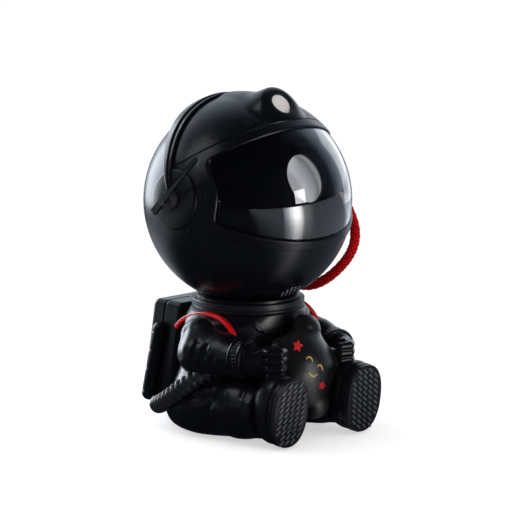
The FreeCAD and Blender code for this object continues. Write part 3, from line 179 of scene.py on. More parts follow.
def moulded(name, dark, light, rough, grain, depth, specular=0.5, coat=0.0):
    """Moulded plastic: a slow drift of tone and gloss, and a fine spark-eroded grain."""
    material, tree, shader = new_material(name, Specular_IOR_Level=specular, Coat_Weight=coat,
                                          Coat_Roughness=0.12)
    fed(tree, shader, {"Base Color": ramp(tree, noise(tree, 22.0), (0.35, dark), (0.65, light)),
                       "Roughness": spread(tree, noise(tree, 60.0, 4.0), rough, 0.03),
                       "Normal": bump(tree, noise(tree, grain, 2.0), depth)})
    return material


def glassy(name, tint, rough=0.01, ior=1.49):
    return new_material(name, Transmission_Weight=1.0, Roughness=rough, IOR=ior, Base_Color=(*tint, 1.0))[0]


def metal(name, colour, rough):
    material, tree, shader = new_material(name, Metallic=1.0, Base_Color=(*colour, 1.0))
    fine = noise(tree, 900.0)
    fed(tree, shader, {"Roughness": spread(tree, fine, rough, 0.06), "Normal": bump(tree, fine, 0.006)})
    return material


def braid_with_painted_shade():
    """Red yarn with painted shade: darker where the strand height is low, between the strands."""
    material, tree, shader = new_material("braid_red_painted_shade", Roughness=0.65, Specular_IOR_Level=0.10)
    strand_height = add_node(tree, "Attribute", attribute_name="strand_height").outputs["Fac"]
    # painted shade: the red darkens to near black in the low places between the strands
    fed(tree, shader, {"Base Color": ramp(tree, strand_height, (0.25, (0.05, 0.0002, 0.0006)),
                                          (0.55, (0.52, 0.0012, 0.0030)), (0.90, (0.88, 0.003, 0.006))),
                       "Normal": bump(tree, noise(tree, 5200.0), 0.05)})
    return material


def lens_painted_glow():
    """Clear glass with a painted glow that changes across the lens, standing in for its highlights and
    refractions.
    """
    material, tree, shader = new_material("lens_painted_glow", Transmission_Weight=0.6, Roughness=0.02, IOR=1.52,
                                          Base_Color=(0.6, 0.6, 0.6, 1.0), Emission_Strength=0.40)
    # painted highlights: lighter and darker glowing bands across the lens
    across = level(tree, texture_place(tree), (0.94, 0.0, 0.34), 28.0, -1.09)
    fed(tree, shader, {"Emission Color": ramp(
        tree, across, (0.05, (0.50, 0.52, 0.54)), (0.22, (0.34, 0.35, 0.37)), (0.30, (0.72, 0.74, 0.76)),
        (0.52, (0.55, 0.57, 0.60)), (0.62, (0.14, 0.145, 0.155)), (0.74, (0.58, 0.60, 0.62)),
        (0.86, (0.06, 0.062, 0.07)), (0.97, (0.02, 0.021, 0.026)))})
    return material


def milky_window():
    material, tree, shader = new_material("milky_window", Roughness=0.22, Specular_IOR_Level=0.5,
                                          Subsurface_Weight=0.4, Subsurface_Scale=0.002)
    fed(tree, shader, {"Base Color": ramp(tree, noise(tree, 60.0), (0.3, (0.93, 0.82, 0.80)),
                                          (0.7, (0.97, 0.91, 0.89)))})
    return material


BLACK = moulded("satin_black", (0.0024, 0.0032, 0.0056), (0.0038, 0.0050, 0.0082), 0.29, 2600, 0.002, 0.42)
SUIT = moulded("suit_black", (0.0026, 0.0032, 0.0052), (0.0044, 0.0052, 0.0076), 0.27, 1500, 0.006, 0.42)
STAR = moulded("star_black", (0.0040, 0.0042, 0.0050), (0.0080, 0.0082, 0.0093), 0.36, 1300, 0.03, 0.85)
COLLAR = moulded("collar_black", (0.004, 0.005, 0.0075), (0.009, 0.0105, 0.014), 0.36, 1500, 0.03)
RUBBER = moulded("sole_rubber", (0.005, 0.006, 0.009), (0.010, 0.011, 0.015), 0.36, 900, 0.02)
# painted highlight: the tread bars are the sole's rubber made lighter, standing in for the light on their
# edges
TREAD_PAINTED_HIGHLIGHT = moulded("tread_bars_painted_highlight", (0.055, 0.060, 0.068), (0.12, 0.125, 0.135), 0.30, 1100, 0.01, 0.9)
# painted glints: a light grey cloth behind the grille, so that its holes read as bright dots like glints on
# their rims
CLOTH_PAINTED_GLINTS = moulded("speaker_cloth", (0.42, 0.43, 0.45), (0.62, 0.63, 0.65), 0.5, 2600, 0.02)
GLOSS = moulded("gloss_black", (0.003, 0.0035, 0.0045), (0.004, 0.0045, 0.006), 0.14, 500, 0.0005)
DUCT = moulded("duct_black", (0.010, 0.012, 0.017), (0.018, 0.021, 0.028), 0.30, 1500, 0.004, 0.9)
INSIDE = moulded("inside_black", (0.001, 0.001, 0.0013), (0.0015, 0.0015, 0.002), 0.5, 900, 0.004, 0.04)
STRAP_RED = moulded("strap_red", (0.62, 0.004, 0.006), (0.72, 0.006, 0.008), 0.22, 700, 0.001, 0.5, 0.4)
PRINT_RED = moulded("print_red", (0.62, 0.012, 0.014), (0.74, 0.02, 0.02), 0.3, 900, 0.002)
PRINT_GOLD = moulded("print_gold", (0.62, 0.33, 0.075), (0.78, 0.47, 0.14), 0.34, 900, 0.002)
YARN_PAINTED_SHADE = braid_with_painted_shade()
CLEAR = glassy("clear_glass", (0.97, 0.98, 0.99))
SMOKED = glassy("visor_glass", (0.80, 0.81, 0.83), 0.015, 1.72)
STEEL = metal("steel", (0.6, 0.6, 0.62), 0.3)
ALUMINIUM = metal("aluminium", (0.75, 0.76, 0.78), 0.34)
IRON = metal("iron", (0.2, 0.2, 0.21), 0.55)
BOARD = moulded("circuit_board", (0.012, 0.12, 0.05), (0.02, 0.17, 0.075), 0.35, 300, 0.01)
NYLON = moulded("white_nylon", (0.80, 0.80, 0.77), (0.87, 0.87, 0.84), 0.4, 900, 0.004)
# the projection lens's glass, with its painted glow
LENS_PAINTED_GLOW = lens_painted_glow()
NEBULA = glassy("nebula_glass", (0.35, 0.5, 0.75), 0.08)
MILKY = milky_window()

# ------------------------------------------------------------------ surfaces from fields

# A field is a function of points in millimetres: negative inside, about the distance to the surface.


def joined(a, b, radius):
    """Union with a fillet of the given radius."""
    corner = np.hypot(np.maximum(radius - a, 0), np.maximum(radius - b, 0))
    return np.maximum(radius, np.minimum(a, b)) - corner


def shared(a, b, radius):
    """Intersection with rounded edges of the given radius."""
    corner = np.hypot(np.maximum(radius + a, 0), np.maximum(radius + b, 0))
    return np.minimum(-radius, np.maximum(a, b)) + corner


def less(a, b, radius):
    return shared(a, -b, radius)


def length(points):
    return np.sqrt(np.sum(points * points, axis=-1))


def unit(way):
    return np.array(way, float) / np.linalg.norm(way)


def rod(points, start, end, start_radius, end_radius):
    """A round-ended rod that tapers from one radius to the other."""
    start, end = np.array(start, float), np.array(end, float)
    run = end - start
    share = np.clip(((points - start) @ run) / (run @ run), 0, 1)
    radius = start_radius + (end_radius - start_radius) * share
    return length(points - start - share[:, None] * run) - radius


def drum(points, centre, axis, radius, half, edge):
    """A round plate with rounded edges."""
    axis = unit(axis)
    away = points - np.array(centre, float)
    along = away @ axis
    around = length(away - along[:, None] * axis)
    return shared(around - radius, np.abs(along) - half, edge)


def swell(place, width):
    """A soft bell, 1 where the place is nought."""
    return np.exp(-(place / width) ** 2)


FAR = 1e9                                   # further than any surface


def crease(points, route, width, depth):
    """A soft groove along a line of points; a negative depth is a soft fold standing up."""
    near = np.full(len(points), FAR)
    for start, end in zip(route, route[1:]):
        near = np.minimum(near, rod(points, start, end, 0.0, 0.0))
    return depth * swell(near, width)


def slopes(field, points, reach=0.02):
    result = np.empty_like(points)
    for axis in range(3):
        shift = np.zeros(3)
        shift[axis] = reach
        result[:, axis] = (field(points + shift) - field(points - shift)) / (2 * reach)
    return result


CORNERS = [(i, j, k) for i in (0, 1) for j in (0, 1) for k in (0, 1)]
BLOCK = 4                                   # fine cells along one coarse cell
NEAR_BLOCKS = 2.2                           # coarse cells this near the surface are worked out finely
BATCH = 2000000                             # grid points worked out at a time


def sampled(field, low, counts, step):
    """The field on a grid, worked out closely only where the surface passes."""
    coarse = [int(math.ceil(count / BLOCK)) + 1 for count in counts]
    axes = [low[axis] + step * BLOCK * np.arange(coarse[axis]) for axis in range(3)]
    grid = np.stack(np.meshgrid(*axes, indexing="ij"), axis=-1)
    rough = field(grid.reshape(-1, 3)).reshape(coarse)
    near = np.abs(rough) < step * BLOCK * NEAR_BLOCKS
    values = rough.copy()
    for axis in range(3):
        values = np.repeat(values, BLOCK, axis=axis)
        near = np.repeat(near, BLOCK, axis=axis)
    values = np.roll(values, (-BLOCK // 2,) * 3, axis=(0, 1, 2))[:counts[0], :counts[1], :counts[2]].copy()
    near = np.roll(near, (-BLOCK // 2,) * 3, axis=(0, 1, 2))[:counts[0], :counts[1], :counts[2]]
    places = np.argwhere(near)
    for start in range(0, len(places), BATCH):
        part = places[start:start + BATCH]
        values[part[:, 0], part[:, 1], part[:, 2]] = field(low + part * step)
    return values


def field_surface(field, low, high, step):
    """Points and quads of the surface where the field is nought."""
    low = np.array(low, float) - step * (BLOCK + 0.37)
    counts = [int(math.ceil(value)) + BLOCK for value in (np.array(high, float) - low) / step]
    values = sampled(field, low, counts, step)
    inside = values < 0
    cells_shape = [count - 1 for count in counts]

    def corner_of(array, corner):
        i, j, k = corner
        return array[i:i + cells_shape[0], j:j + cells_shape[1], k:k + cells_shape[2]]

    filled = sum(corner_of(inside, corner).astype(np.int8) for corner in CORNERS)
    active = (filled > 0) & (filled < 8)
    cells = np.argwhere(active)
    total, number = np.zeros((len(cells), 3)), np.zeros(len(cells))
    for first in CORNERS:
        for axis in range(3):
            if first[axis]:
                continue
            second = tuple(1 if a == axis else value for a, value in enumerate(first))
            one = values[tuple((cells + first).T)]
            two = values[tuple((cells + second).T)]
            crossed = (one < 0) != (two < 0)
            share = one[crossed] / (one[crossed] - two[crossed])
            spot = np.tile(np.array(first, float), (crossed.sum(), 1))
            spot[:, axis] += share
            total[crossed] += spot
            number[crossed] += 1
    points = low + step * (cells + total / number[:, None])
    index = np.full(cells_shape, -1)
    index[active] = np.arange(len(cells))
    quads = []
    for axis in range(3):
        u, v = (axis + 1) % 3, (axis + 2) % 3
        ahead = np.take(inside, range(1, counts[axis]), axis=axis)
        here = np.take(inside, range(0, counts[axis] - 1), axis=axis)
        edges = np.argwhere(ahead != here)
        inner = [(edges[:, way] > 0) & (edges[:, way] < cells_shape[way]) for way in (u, v)]
        edges = edges[inner[0] & inner[1]]
        step_u, step_v = np.eye(3, dtype=int)[u], np.eye(3, dtype=int)[v]
        around = (edges, edges - step_u, edges - step_u - step_v, edges - step_v)
        ring = [index[tuple(spot.T)] for spot in around]
        quad = np.stack(ring, axis=1)
        leaving = here[tuple(edges.T)]
        quads.append(np.where(leaving[:, None], quad, quad[:, ::-1]))
    quads = np.concatenate(quads)
    return points, quads[(quads >= 0).all(axis=1)]


def settled(field, points, step, rounds=4):
    """Points moved onto the surface of the field."""
    for _ in range(rounds):
        slope = slopes(field, points)
        square = np.maximum(np.sum(slope * slope, axis=1), 0.05)
        move = (field(points) / square)[:, None] * slope
        size = length(move)
        points = points - move * np.minimum(1.0, 0.6 * step / np.maximum(size, 1e-9))[:, None]
    return points


def area_normals(mesh):
    corners = np.zeros(len(mesh.loops), int)
    mesh.loops.foreach_get("vertex_index", corners)
    across = np.zeros(len(mesh.polygons) * 3)
    mesh.polygons.foreach_get("normal", across)
    areas = np.zeros(len(mesh.polygons))
    mesh.polygons.foreach_get("area", areas)
    counts = np.zeros(len(mesh.polygons), int)
    mesh.polygons.foreach_get("loop_total", counts)
    weighted = np.repeat(across.reshape(-1, 3) * areas[:, None], counts, axis=0)
    total = np.zeros((len(mesh.vertices), 3))
    np.add.at(total, corners, weighted)
    return total / np.maximum(length(total), 1e-12)[:, None]


def smoothed(mesh, normals=None):
    """Smooth shading by the given normals at the points, or by those weighted by area."""
    mesh.polygons.foreach_set("use_smooth", np.ones(len(mesh.polygons), bool))
    mesh.normals_split_custom_set_from_vertices(area_normals(mesh) if normals is None else normals)


def make_mesh(name, points, faces, normals=None):
    """A smooth mesh in metres from points in millimetres."""
    mesh = bpy.data.meshes.new(name)
    mesh.from_pydata((np.asarray(points, float) * MM).tolist(), [], [list(face) for face in faces])
    mesh.validate()
    mesh.update()
    smoothed(mesh, normals)
    thing = bpy.data.objects.new(name, mesh)
    bpy.context.scene.collection.objects.link(thing)
    return thing


def field_piece(name, field, low, high, step):
    step *= FINE
    points, quads = field_surface(field, low, high, step)
    points = settled(field, points, step)
    slope = slopes(field, points)
    return make_mesh(name, points, quads, slope / np.maximum(length(slope), 1e-9)[:, None])


# ------------------------------------------------------------------ surfaces from sections


def rounded_outline(corners, edge, steps=5, closed=True):
    """A flat outline with its corners rounded; each corner may give its own radius as a third number."""
    result = []
    count = len(corners)
    for number in range(count):
        here = np.array(corners[number][:2], float)
        radius = corners[number][2] if len(corners[number]) > 2 else edge
        if not closed and number in (0, count - 1) or radius <= 0:
            result.append(here)
            continue
        before = np.array(corners[number - 1][:2], float) - here
        after = np.array(corners[(number + 1) % count][:2], float) - here
        long_before, long_after = np.linalg.norm(before), np.linalg.norm(after)
        before, after = before / long_before, after / long_after
        turn = math.acos(max(-1.0, min(1.0, before @ after)))
        if math.pi - turn < 0.02:
            result.append(here)
            continue
        reach = min(radius / math.tan(turn / 2), 0.49 * long_before, 0.49 * long_after)
        radius = reach * math.tan(turn / 2)
        middle = here + (before + after) / np.linalg.norm(before + after) * radius / math.sin(turn / 2)
        first, last = here + before * reach - middle, here + after * reach - middle
        sweep = math.pi - turn
        for part in range(steps + 1):
            share = part / steps
            result.append(middle + (first * math.sin((1 - share) * sweep) + last * math.sin(share * sweep))
                          / math.sin(sweep))
    return np.array(result)


def skin(rings, closed_ring=True, closed_run=False, caps=True):
    """Points and faces of a surface through rings of equal point counts."""
    rings = np.array(rings, float)
    count, around = rings.shape[:2]
    faces = []
    for ring in range(count if closed_run else count - 1):
        here, following = ring * around, (ring + 1) % count * around
        for spot in range(around if closed_ring else around - 1):
            beside = (spot + 1) % around
            faces.append((here + spot, here + beside, following + beside, following + spot))
    if caps and not closed_run:
        faces.append(tuple(range(around))[::-1])
        faces.append(tuple(range((count - 1) * around, count * around)))
    return rings.reshape(-1, 3), faces


def outward(thing):
    """Turn the faces of a closed mesh outwards and set its normals again."""
    work = bmesh.new()
    work.from_mesh(thing.data)
    bmesh.ops.recalc_face_normals(work, faces=work.faces)
    work.to_mesh(thing.data)
    work.free()
    smoothed(thing.data)
    return thing


def welded(thing, reach=1e-6):
    """Points that meet made one."""
    work = bmesh.new()
    work.from_mesh(thing.data)
    bmesh.ops.remove_doubles(work, verts=work.verts, dist=reach)
    bmesh.ops.dissolve_degenerate(work, edges=work.edges, dist=reach)
    work.to_mesh(thing.data)
    work.free()
    return thing


def axes_along(axis):
    axis = Vector(axis).normalized()
    side = axis.orthogonal().normalized()
    return np.array(side), np.array(axis.cross(side)), np.array(axis)


def circle(count):
    """Angles round a full turn."""
    return np.linspace(0, 2 * math.pi, count, endpoint=False)


def lathe(name, outline, centre, axis, segments=96):
    """A solid of revolution from a closed outline of (radius, along) points."""
    side, up, axis = axes_along(axis)
    turn = circle(segments)[:, None]
    spokes = np.cos(turn) * side + np.sin(turn) * up
    rings = [np.array(centre, float) + axis * along + max(radius, 0.0) * spokes for radius, along in outline]
    return outward(welded(make_mesh(name, *skin(rings, closed_run=True))))


def smooth_route(points, spacing):
    """Points a given spacing apart on a smooth line through the given ones."""
    points = np.array(points, float)
    padded = np.vstack([2 * points[0] - points[1], points, 2 * points[-1] - points[-2]])
    fine = []
    for a, b, c, d in zip(padded, padded[1:], padded[2:], padded[3:]):
        for share in np.linspace(0, 1, 24, endpoint=False):
            fine.append(0.5 * (2 * b + (c - a) * share + (2 * a - 5 * b + 4 * c - d) * share ** 2
                               + (3 * b - a - 3 * c + d) * share ** 3))
    fine.append(points[-1])
    return even_route(np.array(fine), spacing)


def distances(line):
    """The way along a line to each of its points."""
    return np.concatenate([[0], np.cumsum(length(np.diff(line, axis=0)))])


def even_route(line, spacing):
    run = distances(line)
    count = max(2, int(round(run[-1] / spacing)) + 1)
    wanted = np.linspace(0, run[-1], count)
    return np.stack([np.interp(wanted, run, line[:, axis]) for axis in range(3)], axis=1)


def headings(line):
    """The direction of a line at each of its points."""
    way = np.gradient(line, axis=0)
    return way / length(way)[:, None]


def frames_on(line):
    """Two steady side vectors at each point of a line."""
    tangents = headings(line)
    side = np.array(Vector(tangents[0]).orthogonal().normalized())
    sides = []
    for tangent in tangents:
        side = unit(side - tangent * (side @ tangent))
        sides.append(side)
    return np.array(sides), np.cross(tangents, sides)


def tube(name, line, radii):
    """A tube of changing radius, with a row of radii round it for each point of the line."""
    sides, ups = frames_on(line)
    turn = circle(radii.shape[1])[None, :, None]
    spokes = np.cos(turn) * sides[:, None, :] + np.sin(turn) * ups[:, None, :]
    rings = line[:, None, :] + radii[:, :, None] * spokes
    return make_mesh(name, *skin(rings))


def bar(name, line, section, upwards):
    """A flat section of (across, up) points carried along a line, kept level with a direction."""
    tangents = headings(line)
    sides = np.cross(tangents, upwards)
    sides /= length(sides)[:, None]
    ups = np.cross(sides, tangents)
    across, up = section[None, :, :1], section[None, :, 1:]
    rings = line[:, None, :] + across * sides[:, None, :] + up * ups[:, None, :]
    return outward(make_mesh(name, *skin(rings)))


def joined_mesh(name, solids):
    """One mesh of several solids, each given as its points and faces."""
    points, faces, count = [], [], 0
    for part_points, part_faces in solids:
        points.append(part_points)
        faces += [tuple(corner + count for corner in face) for face in part_faces]
        count += len(part_points)
    return outward(make_mesh(name, np.concatenate(points), faces))


def finished(thing, material, nodes=(), body="figure"):
    """Give a piece its finish, its place in the record and the CAD nodes that it stands for."""
    thing.data.materials.append(material)
    if nodes:
        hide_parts(*nodes)
    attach(thing, body)
    return thing


# ------------------------------------------------------------------ helmet


def direction(tilt):
    """The way that is turned forward from upright by an angle in degrees."""
    return np.array((0.0, -math.sin(math.radians(tilt)), math.cos(math.radians(tilt))))


HEAD = np.array((0.0, 0.0, 150.0))
REAR_RADIUS = 68.0
FRONT_RADIUS = 68.5
WALL = 2.5
EAR = np.array((0.0, 0.0, 8.0))
EAR_RADIUS = 19.7
SPLIT = direction(60.0)
SPLIT_SHIFT = EAR[2] * SPLIT[2]
HOOP_FRONT = direction(71.0)
HOOP_SHIFT = EAR[2] * HOOP_FRONT[2] - 1.8 * HOOP_FRONT[1]
HOOP_RADIUS = 72.3
HOOP_LOW_RADIUS = 71.1                      # of the hoop's lower step, in front of its ridge
HOOP_INSIDE = 68.4
CAP_RADIUS = 69.2
SURROUND_RADIUS = 69.3
GLASS_RADIUS = 68.0
GLASS_WALL = 1.8
LENS_HOLE = 7.6
PORT_HALF = (4.6, 1.9)

# Rear edge of the visor's opening from the side, as (ahead, up) from the helmet's centre.
REAR_EDGE = [(-32.6, -16.0), (-31.6, -8.0), (-31.2, -1.5), (-31.9, 5.1), (-31.9, 11.7), (-30.7, 16.2),
             (-28.4, 21.2), (-25.4, 26.0), (-21.0, 32.4), (-16.0, 40.0)]
REAR_LINE = smooth_route([(y, z, 0) for y, z in REAR_EDGE], 0.5)[:, :2]
REAR_SLANT = np.hypot(1.0, np.gradient(REAR_LINE[:, 0]) / np.gradient(REAR_LINE[:, 1]))

BUTTON_AXIS = direction(-110.0)
BUTTON_PLACES = {"button_laser": -14.0, "button_power": 0.0, "button_nebula": 14.0}
PORT_AXIS = unit((-0.50, 0.50, -0.71))
LASER_AXIS, LASER_SIDE = direction(55.0), direction(55.0 - 90.0)
LENS_ASIDE = 36.4                           # the forehead lens's distance from the ray through the centre
LASER_EYE = LASER_AXIS * 62.6 + LASER_SIDE * LENS_ASIDE
SPEAKER_AXIS, SPEAKER_SIDE = direction(145.0), direction(145.0 - 90.0)
GRILLE_PITCH = 3.4
GRILLE_HOLE = 0.8

# The helmet's fields take places measured from its centre.


def opening(away, grow=0.0, corner=3.0):
    """Negative inside the visor's opening, seen from the side, grown by a margin."""
    y, z = away[:, 1], away[:, 2]
    top = (0.70 * y + z - 20.3) / 1.2207
    low = (7.5 + 0.385 * y - z) / 1.0716
    rear = (y - np.interp(z, REAR_LINE[:, 1], REAR_LINE[:, 0])) / np.interp(z, REAR_LINE[:, 1], REAR_SLANT)
    return shared(shared(top, low, corner), rear, corner) - grow


def ahead_of_split(away):
    return away @ SPLIT - SPLIT_SHIFT


def layer(away, outside, inside):
    """The space between two balls about the helmet's centre."""
    around = length(away)
    return np.maximum(around - outside, inside - around)


def rear_shell(away):
    result = shared(layer(away, REAR_RADIUS, REAR_RADIUS - WALL), ahead_of_split(away) + 0.12, 0.45)
    for across in BUTTON_PLACES.values():
        centre = BUTTON_AXIS * 67.0 + np.array((across, 0, 0))
        result = less(result, drum(away, centre, BUTTON_AXIS, 4.5, 9.0, 0.1), 0.5)
    cup = drum(away, PORT_AXIS * 70.0, PORT_AXIS, 8.0, 6.9, 0.8)
    rim = drum(away, PORT_AXIS * 60.5, PORT_AXIS, 10.0, 5.0, 0.8)
    result = less(joined(result, shared(rim, length(away) - REAR_RADIUS, 0.1), 0.3), cup, 0.8)
    side, up, _ = axes_along(PORT_AXIS)
    mouth = np.maximum(np.abs(away @ side) - PORT_HALF[0], np.abs(away @ up) - PORT_HALF[1])
    return less(result, shared(mouth, 55.0 - away @ PORT_AXIS, 0.2), 0.3)


def grille(away):
    """Round holes on a hexagonal net over the loudspeaker."""
    across, up = away[:, 0], away @ SPEAKER_SIDE
    best = np.full(len(away), FAR)
    for row in range(-2, 3):
        for step in range(-3, 4):
            x, y = (step + 0.5 * (row % 2)) * GRILLE_PITCH, row * (GRILLE_PITCH * math.sqrt(3) / 2)
            if math.hypot(x, y) < 2.3 * GRILLE_PITCH:
                best = np.minimum(best, np.hypot(across - x, up - y) - GRILLE_HOLE)
    return np.where(away @ SPEAKER_AXIS > 30, best, 50.0)


def mound(away):
    """The fairing round the forehead lens, running back over the crown."""
    nose = length(away - (LASER_EYE - LASER_AXIS * 7.0)) - 14.4
    back = rod(away, (0, -24.0, 57.5), (0, 12.0, 60.0), 12.6, 7.2)
    return shared(joined(nose, back, 9.0), (away - LASER_EYE) @ LASER_AXIS - 0.7, 3.6)


def speaker_patch(away):
    """The round field of the loudspeaker holes."""
    return drum(away, SPEAKER_AXIS * 67.0, SPEAKER_AXIS, 10.6, 12.0, 0.1)


def front_shell(away):
    result = shared(layer(away, FRONT_RADIUS, FRONT_RADIUS - WALL), 0.12 - ahead_of_split(away), 0.45)
    result = less(result, opening(away, 1.6), 0.3)
    result = less(result, speaker_patch(away), 0.05)
    return less(result, drum(away, LASER_EYE, LASER_AXIS, LENS_HOLE, 20.0, 0.2), 0.3)


def speaker_grille(away):
    sheet = layer(away, FRONT_RADIUS, FRONT_RADIUS - 0.9)
    return less(np.maximum(sheet, speaker_patch(away) + 0.02), grille(away), 0.25)


def speaker_cloth(away):
    return np.maximum(layer(away, FRONT_RADIUS - 0.16, FRONT_RADIUS - 1.6), speaker_patch(away) + 1.0)


def brow(away):
    """The raised cap above the visor, with the mound of the forehead lens."""
    edge = (30.6 - 0.66 * away[:, 1] - away[:, 2]) / 1.198
    outline = shared(edge, HOOP_SHIFT + 0.9 - away @ HOOP_FRONT, 6.0)
    sheet = shared(layer(away, CAP_RADIUS, FRONT_RADIUS - 0.2), outline, 0.6)
    hump = np.maximum(mound(away), FRONT_RADIUS - 0.3 - length(away))
    eye = drum(away, LASER_EYE + LASER_AXIS * 8.0, LASER_AXIS, LENS_HOLE, 11.0, 0.2)
    return less(np.maximum(joined(sheet, hump, 8.0), FRONT_RADIUS - 1.6 - length(away)), eye, 0.5)


def hoop(away):
    """The arch over the helmet: a ridge along the split and a lower step in front of it."""
    ahead, back = away @ HOOP_FRONT - HOOP_SHIFT, -ahead_of_split(away)
    ridge = shared(shared(layer(away, HOOP_RADIUS, HOOP_INSIDE), ahead, 0.8), back + 0.1, 1.1)
    lower = shared(layer(away, HOOP_LOW_RADIUS, HOOP_INSIDE), np.maximum(ahead, back + 0.3), 0.4)
    result = joined(shared(ridge, 0.65 * ahead - 0.35 * back, 0.5), lower, 0.5)
    result = less(result, np.hypot(away[:, 1], away[:, 2] - EAR[2]) - 6.6, 0.5)
    return less(result, mound(away) - 0.3, 0.4)


def surround(away):
    """The frame of the visor: a raised border with a rounded lip down to the glass."""
    border = shared(layer(away, SURROUND_RADIUS, 68.52), opening(away, 7.0), 0.6)
    lip = shared(layer(away, SURROUND_RADIUS, 66.9), opening(away, 1.4), 0.1)
    return less(np.minimum(border, lip), opening(away, -0.1), 1.5)


def visor_glass(away):
    return shared(layer(away, GLASS_RADIUS, GLASS_RADIUS - GLASS_WALL), opening(away, -0.2), 0.3)


def visor_liner(away):
    """Painted shade: a near-black band behind the glass, round the opening, that keeps the helmet's inside
    dark there.
    """
    return less(shared(layer(away, 64.9, 63.7), opening(away, 1.2), 0.2), opening(away, -5.0), 0.2)


def ear_disc(side):
    def field(away):
        around = np.hypot(away[:, 1], away[:, 2] - EAR[2]) - EAR_RADIUS
        return np.maximum(shared(layer(away, 70.2, 68.05), around, 1.25), -side * away[:, 0] + 20.0)
    return field


def head_piece(name, field, low, high, step, material=BLACK, nodes=()):
    """A piece of the helmet, its field and its box measured from the helmet's centre."""
    thing = field_piece(name, lambda points: field(points - HEAD), HEAD + low, HEAD + high, step)
    return finished(thing, material, nodes, "head")


def build_helmet():
    head_piece("helmet_back", rear_shell, -69, 69, 0.85, nodes=["helmet_rear_shell"])
    head_piece("helmet_front", front_shell, -70, 70, 0.85, nodes=["helmet_front_shell"])
    centre = SPEAKER_AXIS * 65
    head_piece("speaker_grille", speaker_grille, centre - 13, centre + 13, 0.3)
    # the cloth behind the grille is light grey, painted glints in the holes
    head_piece("speaker_cloth", speaker_cloth, centre - 13, centre + 13, 0.35, CLOTH_PAINTED_GLINTS)
    head_piece("helmet_brow", brow, (-70, -70, 5), (70, 30, 76.5), 0.6)
    head_piece("helmet_arch", hoop, (-73, -30, -5), (73, 45, 73), 0.6, nodes=["helmet_hoop"])
    head_piece("visor_frame", surround, (-70, -70, -32), (70, -8, 64), 0.5, nodes=["visor_surround"])
    head_piece("visor_glass", visor_glass, (-70, -70, -30), (70, -10, 60), 0.75, SMOKED, ["visor"])
    # a near-black band of painted shade behind the visor's edge
    head_piece("visor_liner", visor_liner, (-68, -68, -30), (68, -10, 60), 0.6, INSIDE)
    for side, label in SIDES:
        inner, outer = sorted((side * 20, side * 71))
        head_piece("ear_plate_" + label, ear_disc(side), (inner, -21, -13), (outer, 21, 29), 0.6,
                   nodes=["ear_disc_" + label])


build_helmet()

# ------------------------------------------------------------------ figure

TORSO_ROWS = np.array([                     # width, depth, middle and height
    (93.6, 66.4, 3.0, 1.2), (111.7, 79.3, 4.0, 8.0), (117.0, 83.0, 4.5, 19.0), (105.3, 75.5, 2.5, 33.0),
    (95.9, 71.4, 0.5, 48.0), (94.9, 70.6, 0.0, 62.3), (91.2, 72.2, 0.0, 73.3), (76.06, 73.46, 0.0, 80.3)])
FINE_ROWS = smooth_route(TORSO_ROWS[:, [0, 1, 3]], 0.8)
TORSO_LOW, TORSO_HIGH = 1.2, 80.3
LEG_RADIUS = 20.5
LEG_HIGH = 22.1
LEG_ACROSS = 34.0


def torso(points):
    z = np.clip(points[:, 2], TORSO_LOW, TORSO_HIGH)
    wide = np.interp(z, FINE_ROWS[:, 2], FINE_ROWS[:, 0]) / 2
    deep = np.interp(z, FINE_ROWS[:, 2], FINE_ROWS[:, 1]) / 2
    x, y = points[:, 0], points[:, 1] - np.interp(z, TORSO_ROWS[:, 3], TORSO_ROWS[:, 2])
    share = np.hypot(x / wide, y / deep)
    slope = np.hypot(x / wide ** 2, y / deep ** 2)
    side = share * (share - 1) / np.maximum(slope, 1e-4) * 0.92
    return shared(shared(side, TORSO_LOW - points[:, 2], 3.0), points[:, 2] - TORSO_HIGH, 1.5)


def mirrored(folds, across=0.0, back=0.0, up=0.0):
    """The same folds on the other side, moved a little so that the sides differ."""
    return [([(across - x, y + back, z + up) for x, y, z in route], width, depth)
            for route, width, depth in folds]


SUIT_FOLDS = [                              # route, width and depth; the first six round the waist
    ([(-49.5, -22, 40), (-51.5, -8, 35.5), (-52.5, 8, 35.0)], 1.9, 1.2),
    ([(-50.0, -16, 46), (-50.5, -4, 43.5), (-50.0, 10, 44.0)], 1.7, 0.9),
    ([(-40, -30, 36), (-47, -22, 31), (-54, -10, 28), (-56.5, 4, 28.5)], 2.2, 1.2),
    ([(-22, -36.5, 40), (-32, -34, 33), (-42, -28, 27)], 2.3, 1.0),
    ([(-47, 14, 50), (-46.5, 20, 44), (-45.5, 27, 41)], 2.0, 0.8),
    ([(-38, -10, 41.5), (-46, -14, 40), (-53, -12, 34)], 2.2, -0.7),
    ([(-15.5, -26, 30), (-20, -33, 24), (-18.5, -38, 12)], 2.6, 1.0),
    ([(-36, -22, 42.5), (-46, -24, 36), (-54, -20, 24), (-55.5, -16, 14)], 2.4, 0.9),
    ([(-50, -32, 32), (-54, -36, 22), (-52, -40, 12)], 2.2, 0.7),
    ([(-34, -38, 42.5), (-42, -42, 39), (-49, -44, 33)], 2.0, 0.7),
    ([(-30, -48, 42), (-40, -49, 39.5), (-50, -50, 32)], 1.8, 0.5),
]
SUIT_FOLDS += mirrored(SUIT_FOLDS, back=1.5, up=-1.0)
CHEST_SEAM_PIXELS = [(240.5, 309.0), (244.5, 313.0), (249.0, 318.0), (254.0, 324.0), (259.5, 329.5)]
SEAM_SHIFTS = (0.0, 3.2)
SIGHT_START = 110.0                         # millimetres in front of the neck axis
SIGHT_STEPS = 80


def on_surface(field, spot):
    """The point of a surface seen at a pixel of the photograph."""
    along = np.array(TOWARDS)
    start = np.array(seen_at(*spot)) + along * SIGHT_START
    for _ in range(SIGHT_STEPS):
        start = start - along * float(field(start[None, :])[0]) * 0.9
    return start


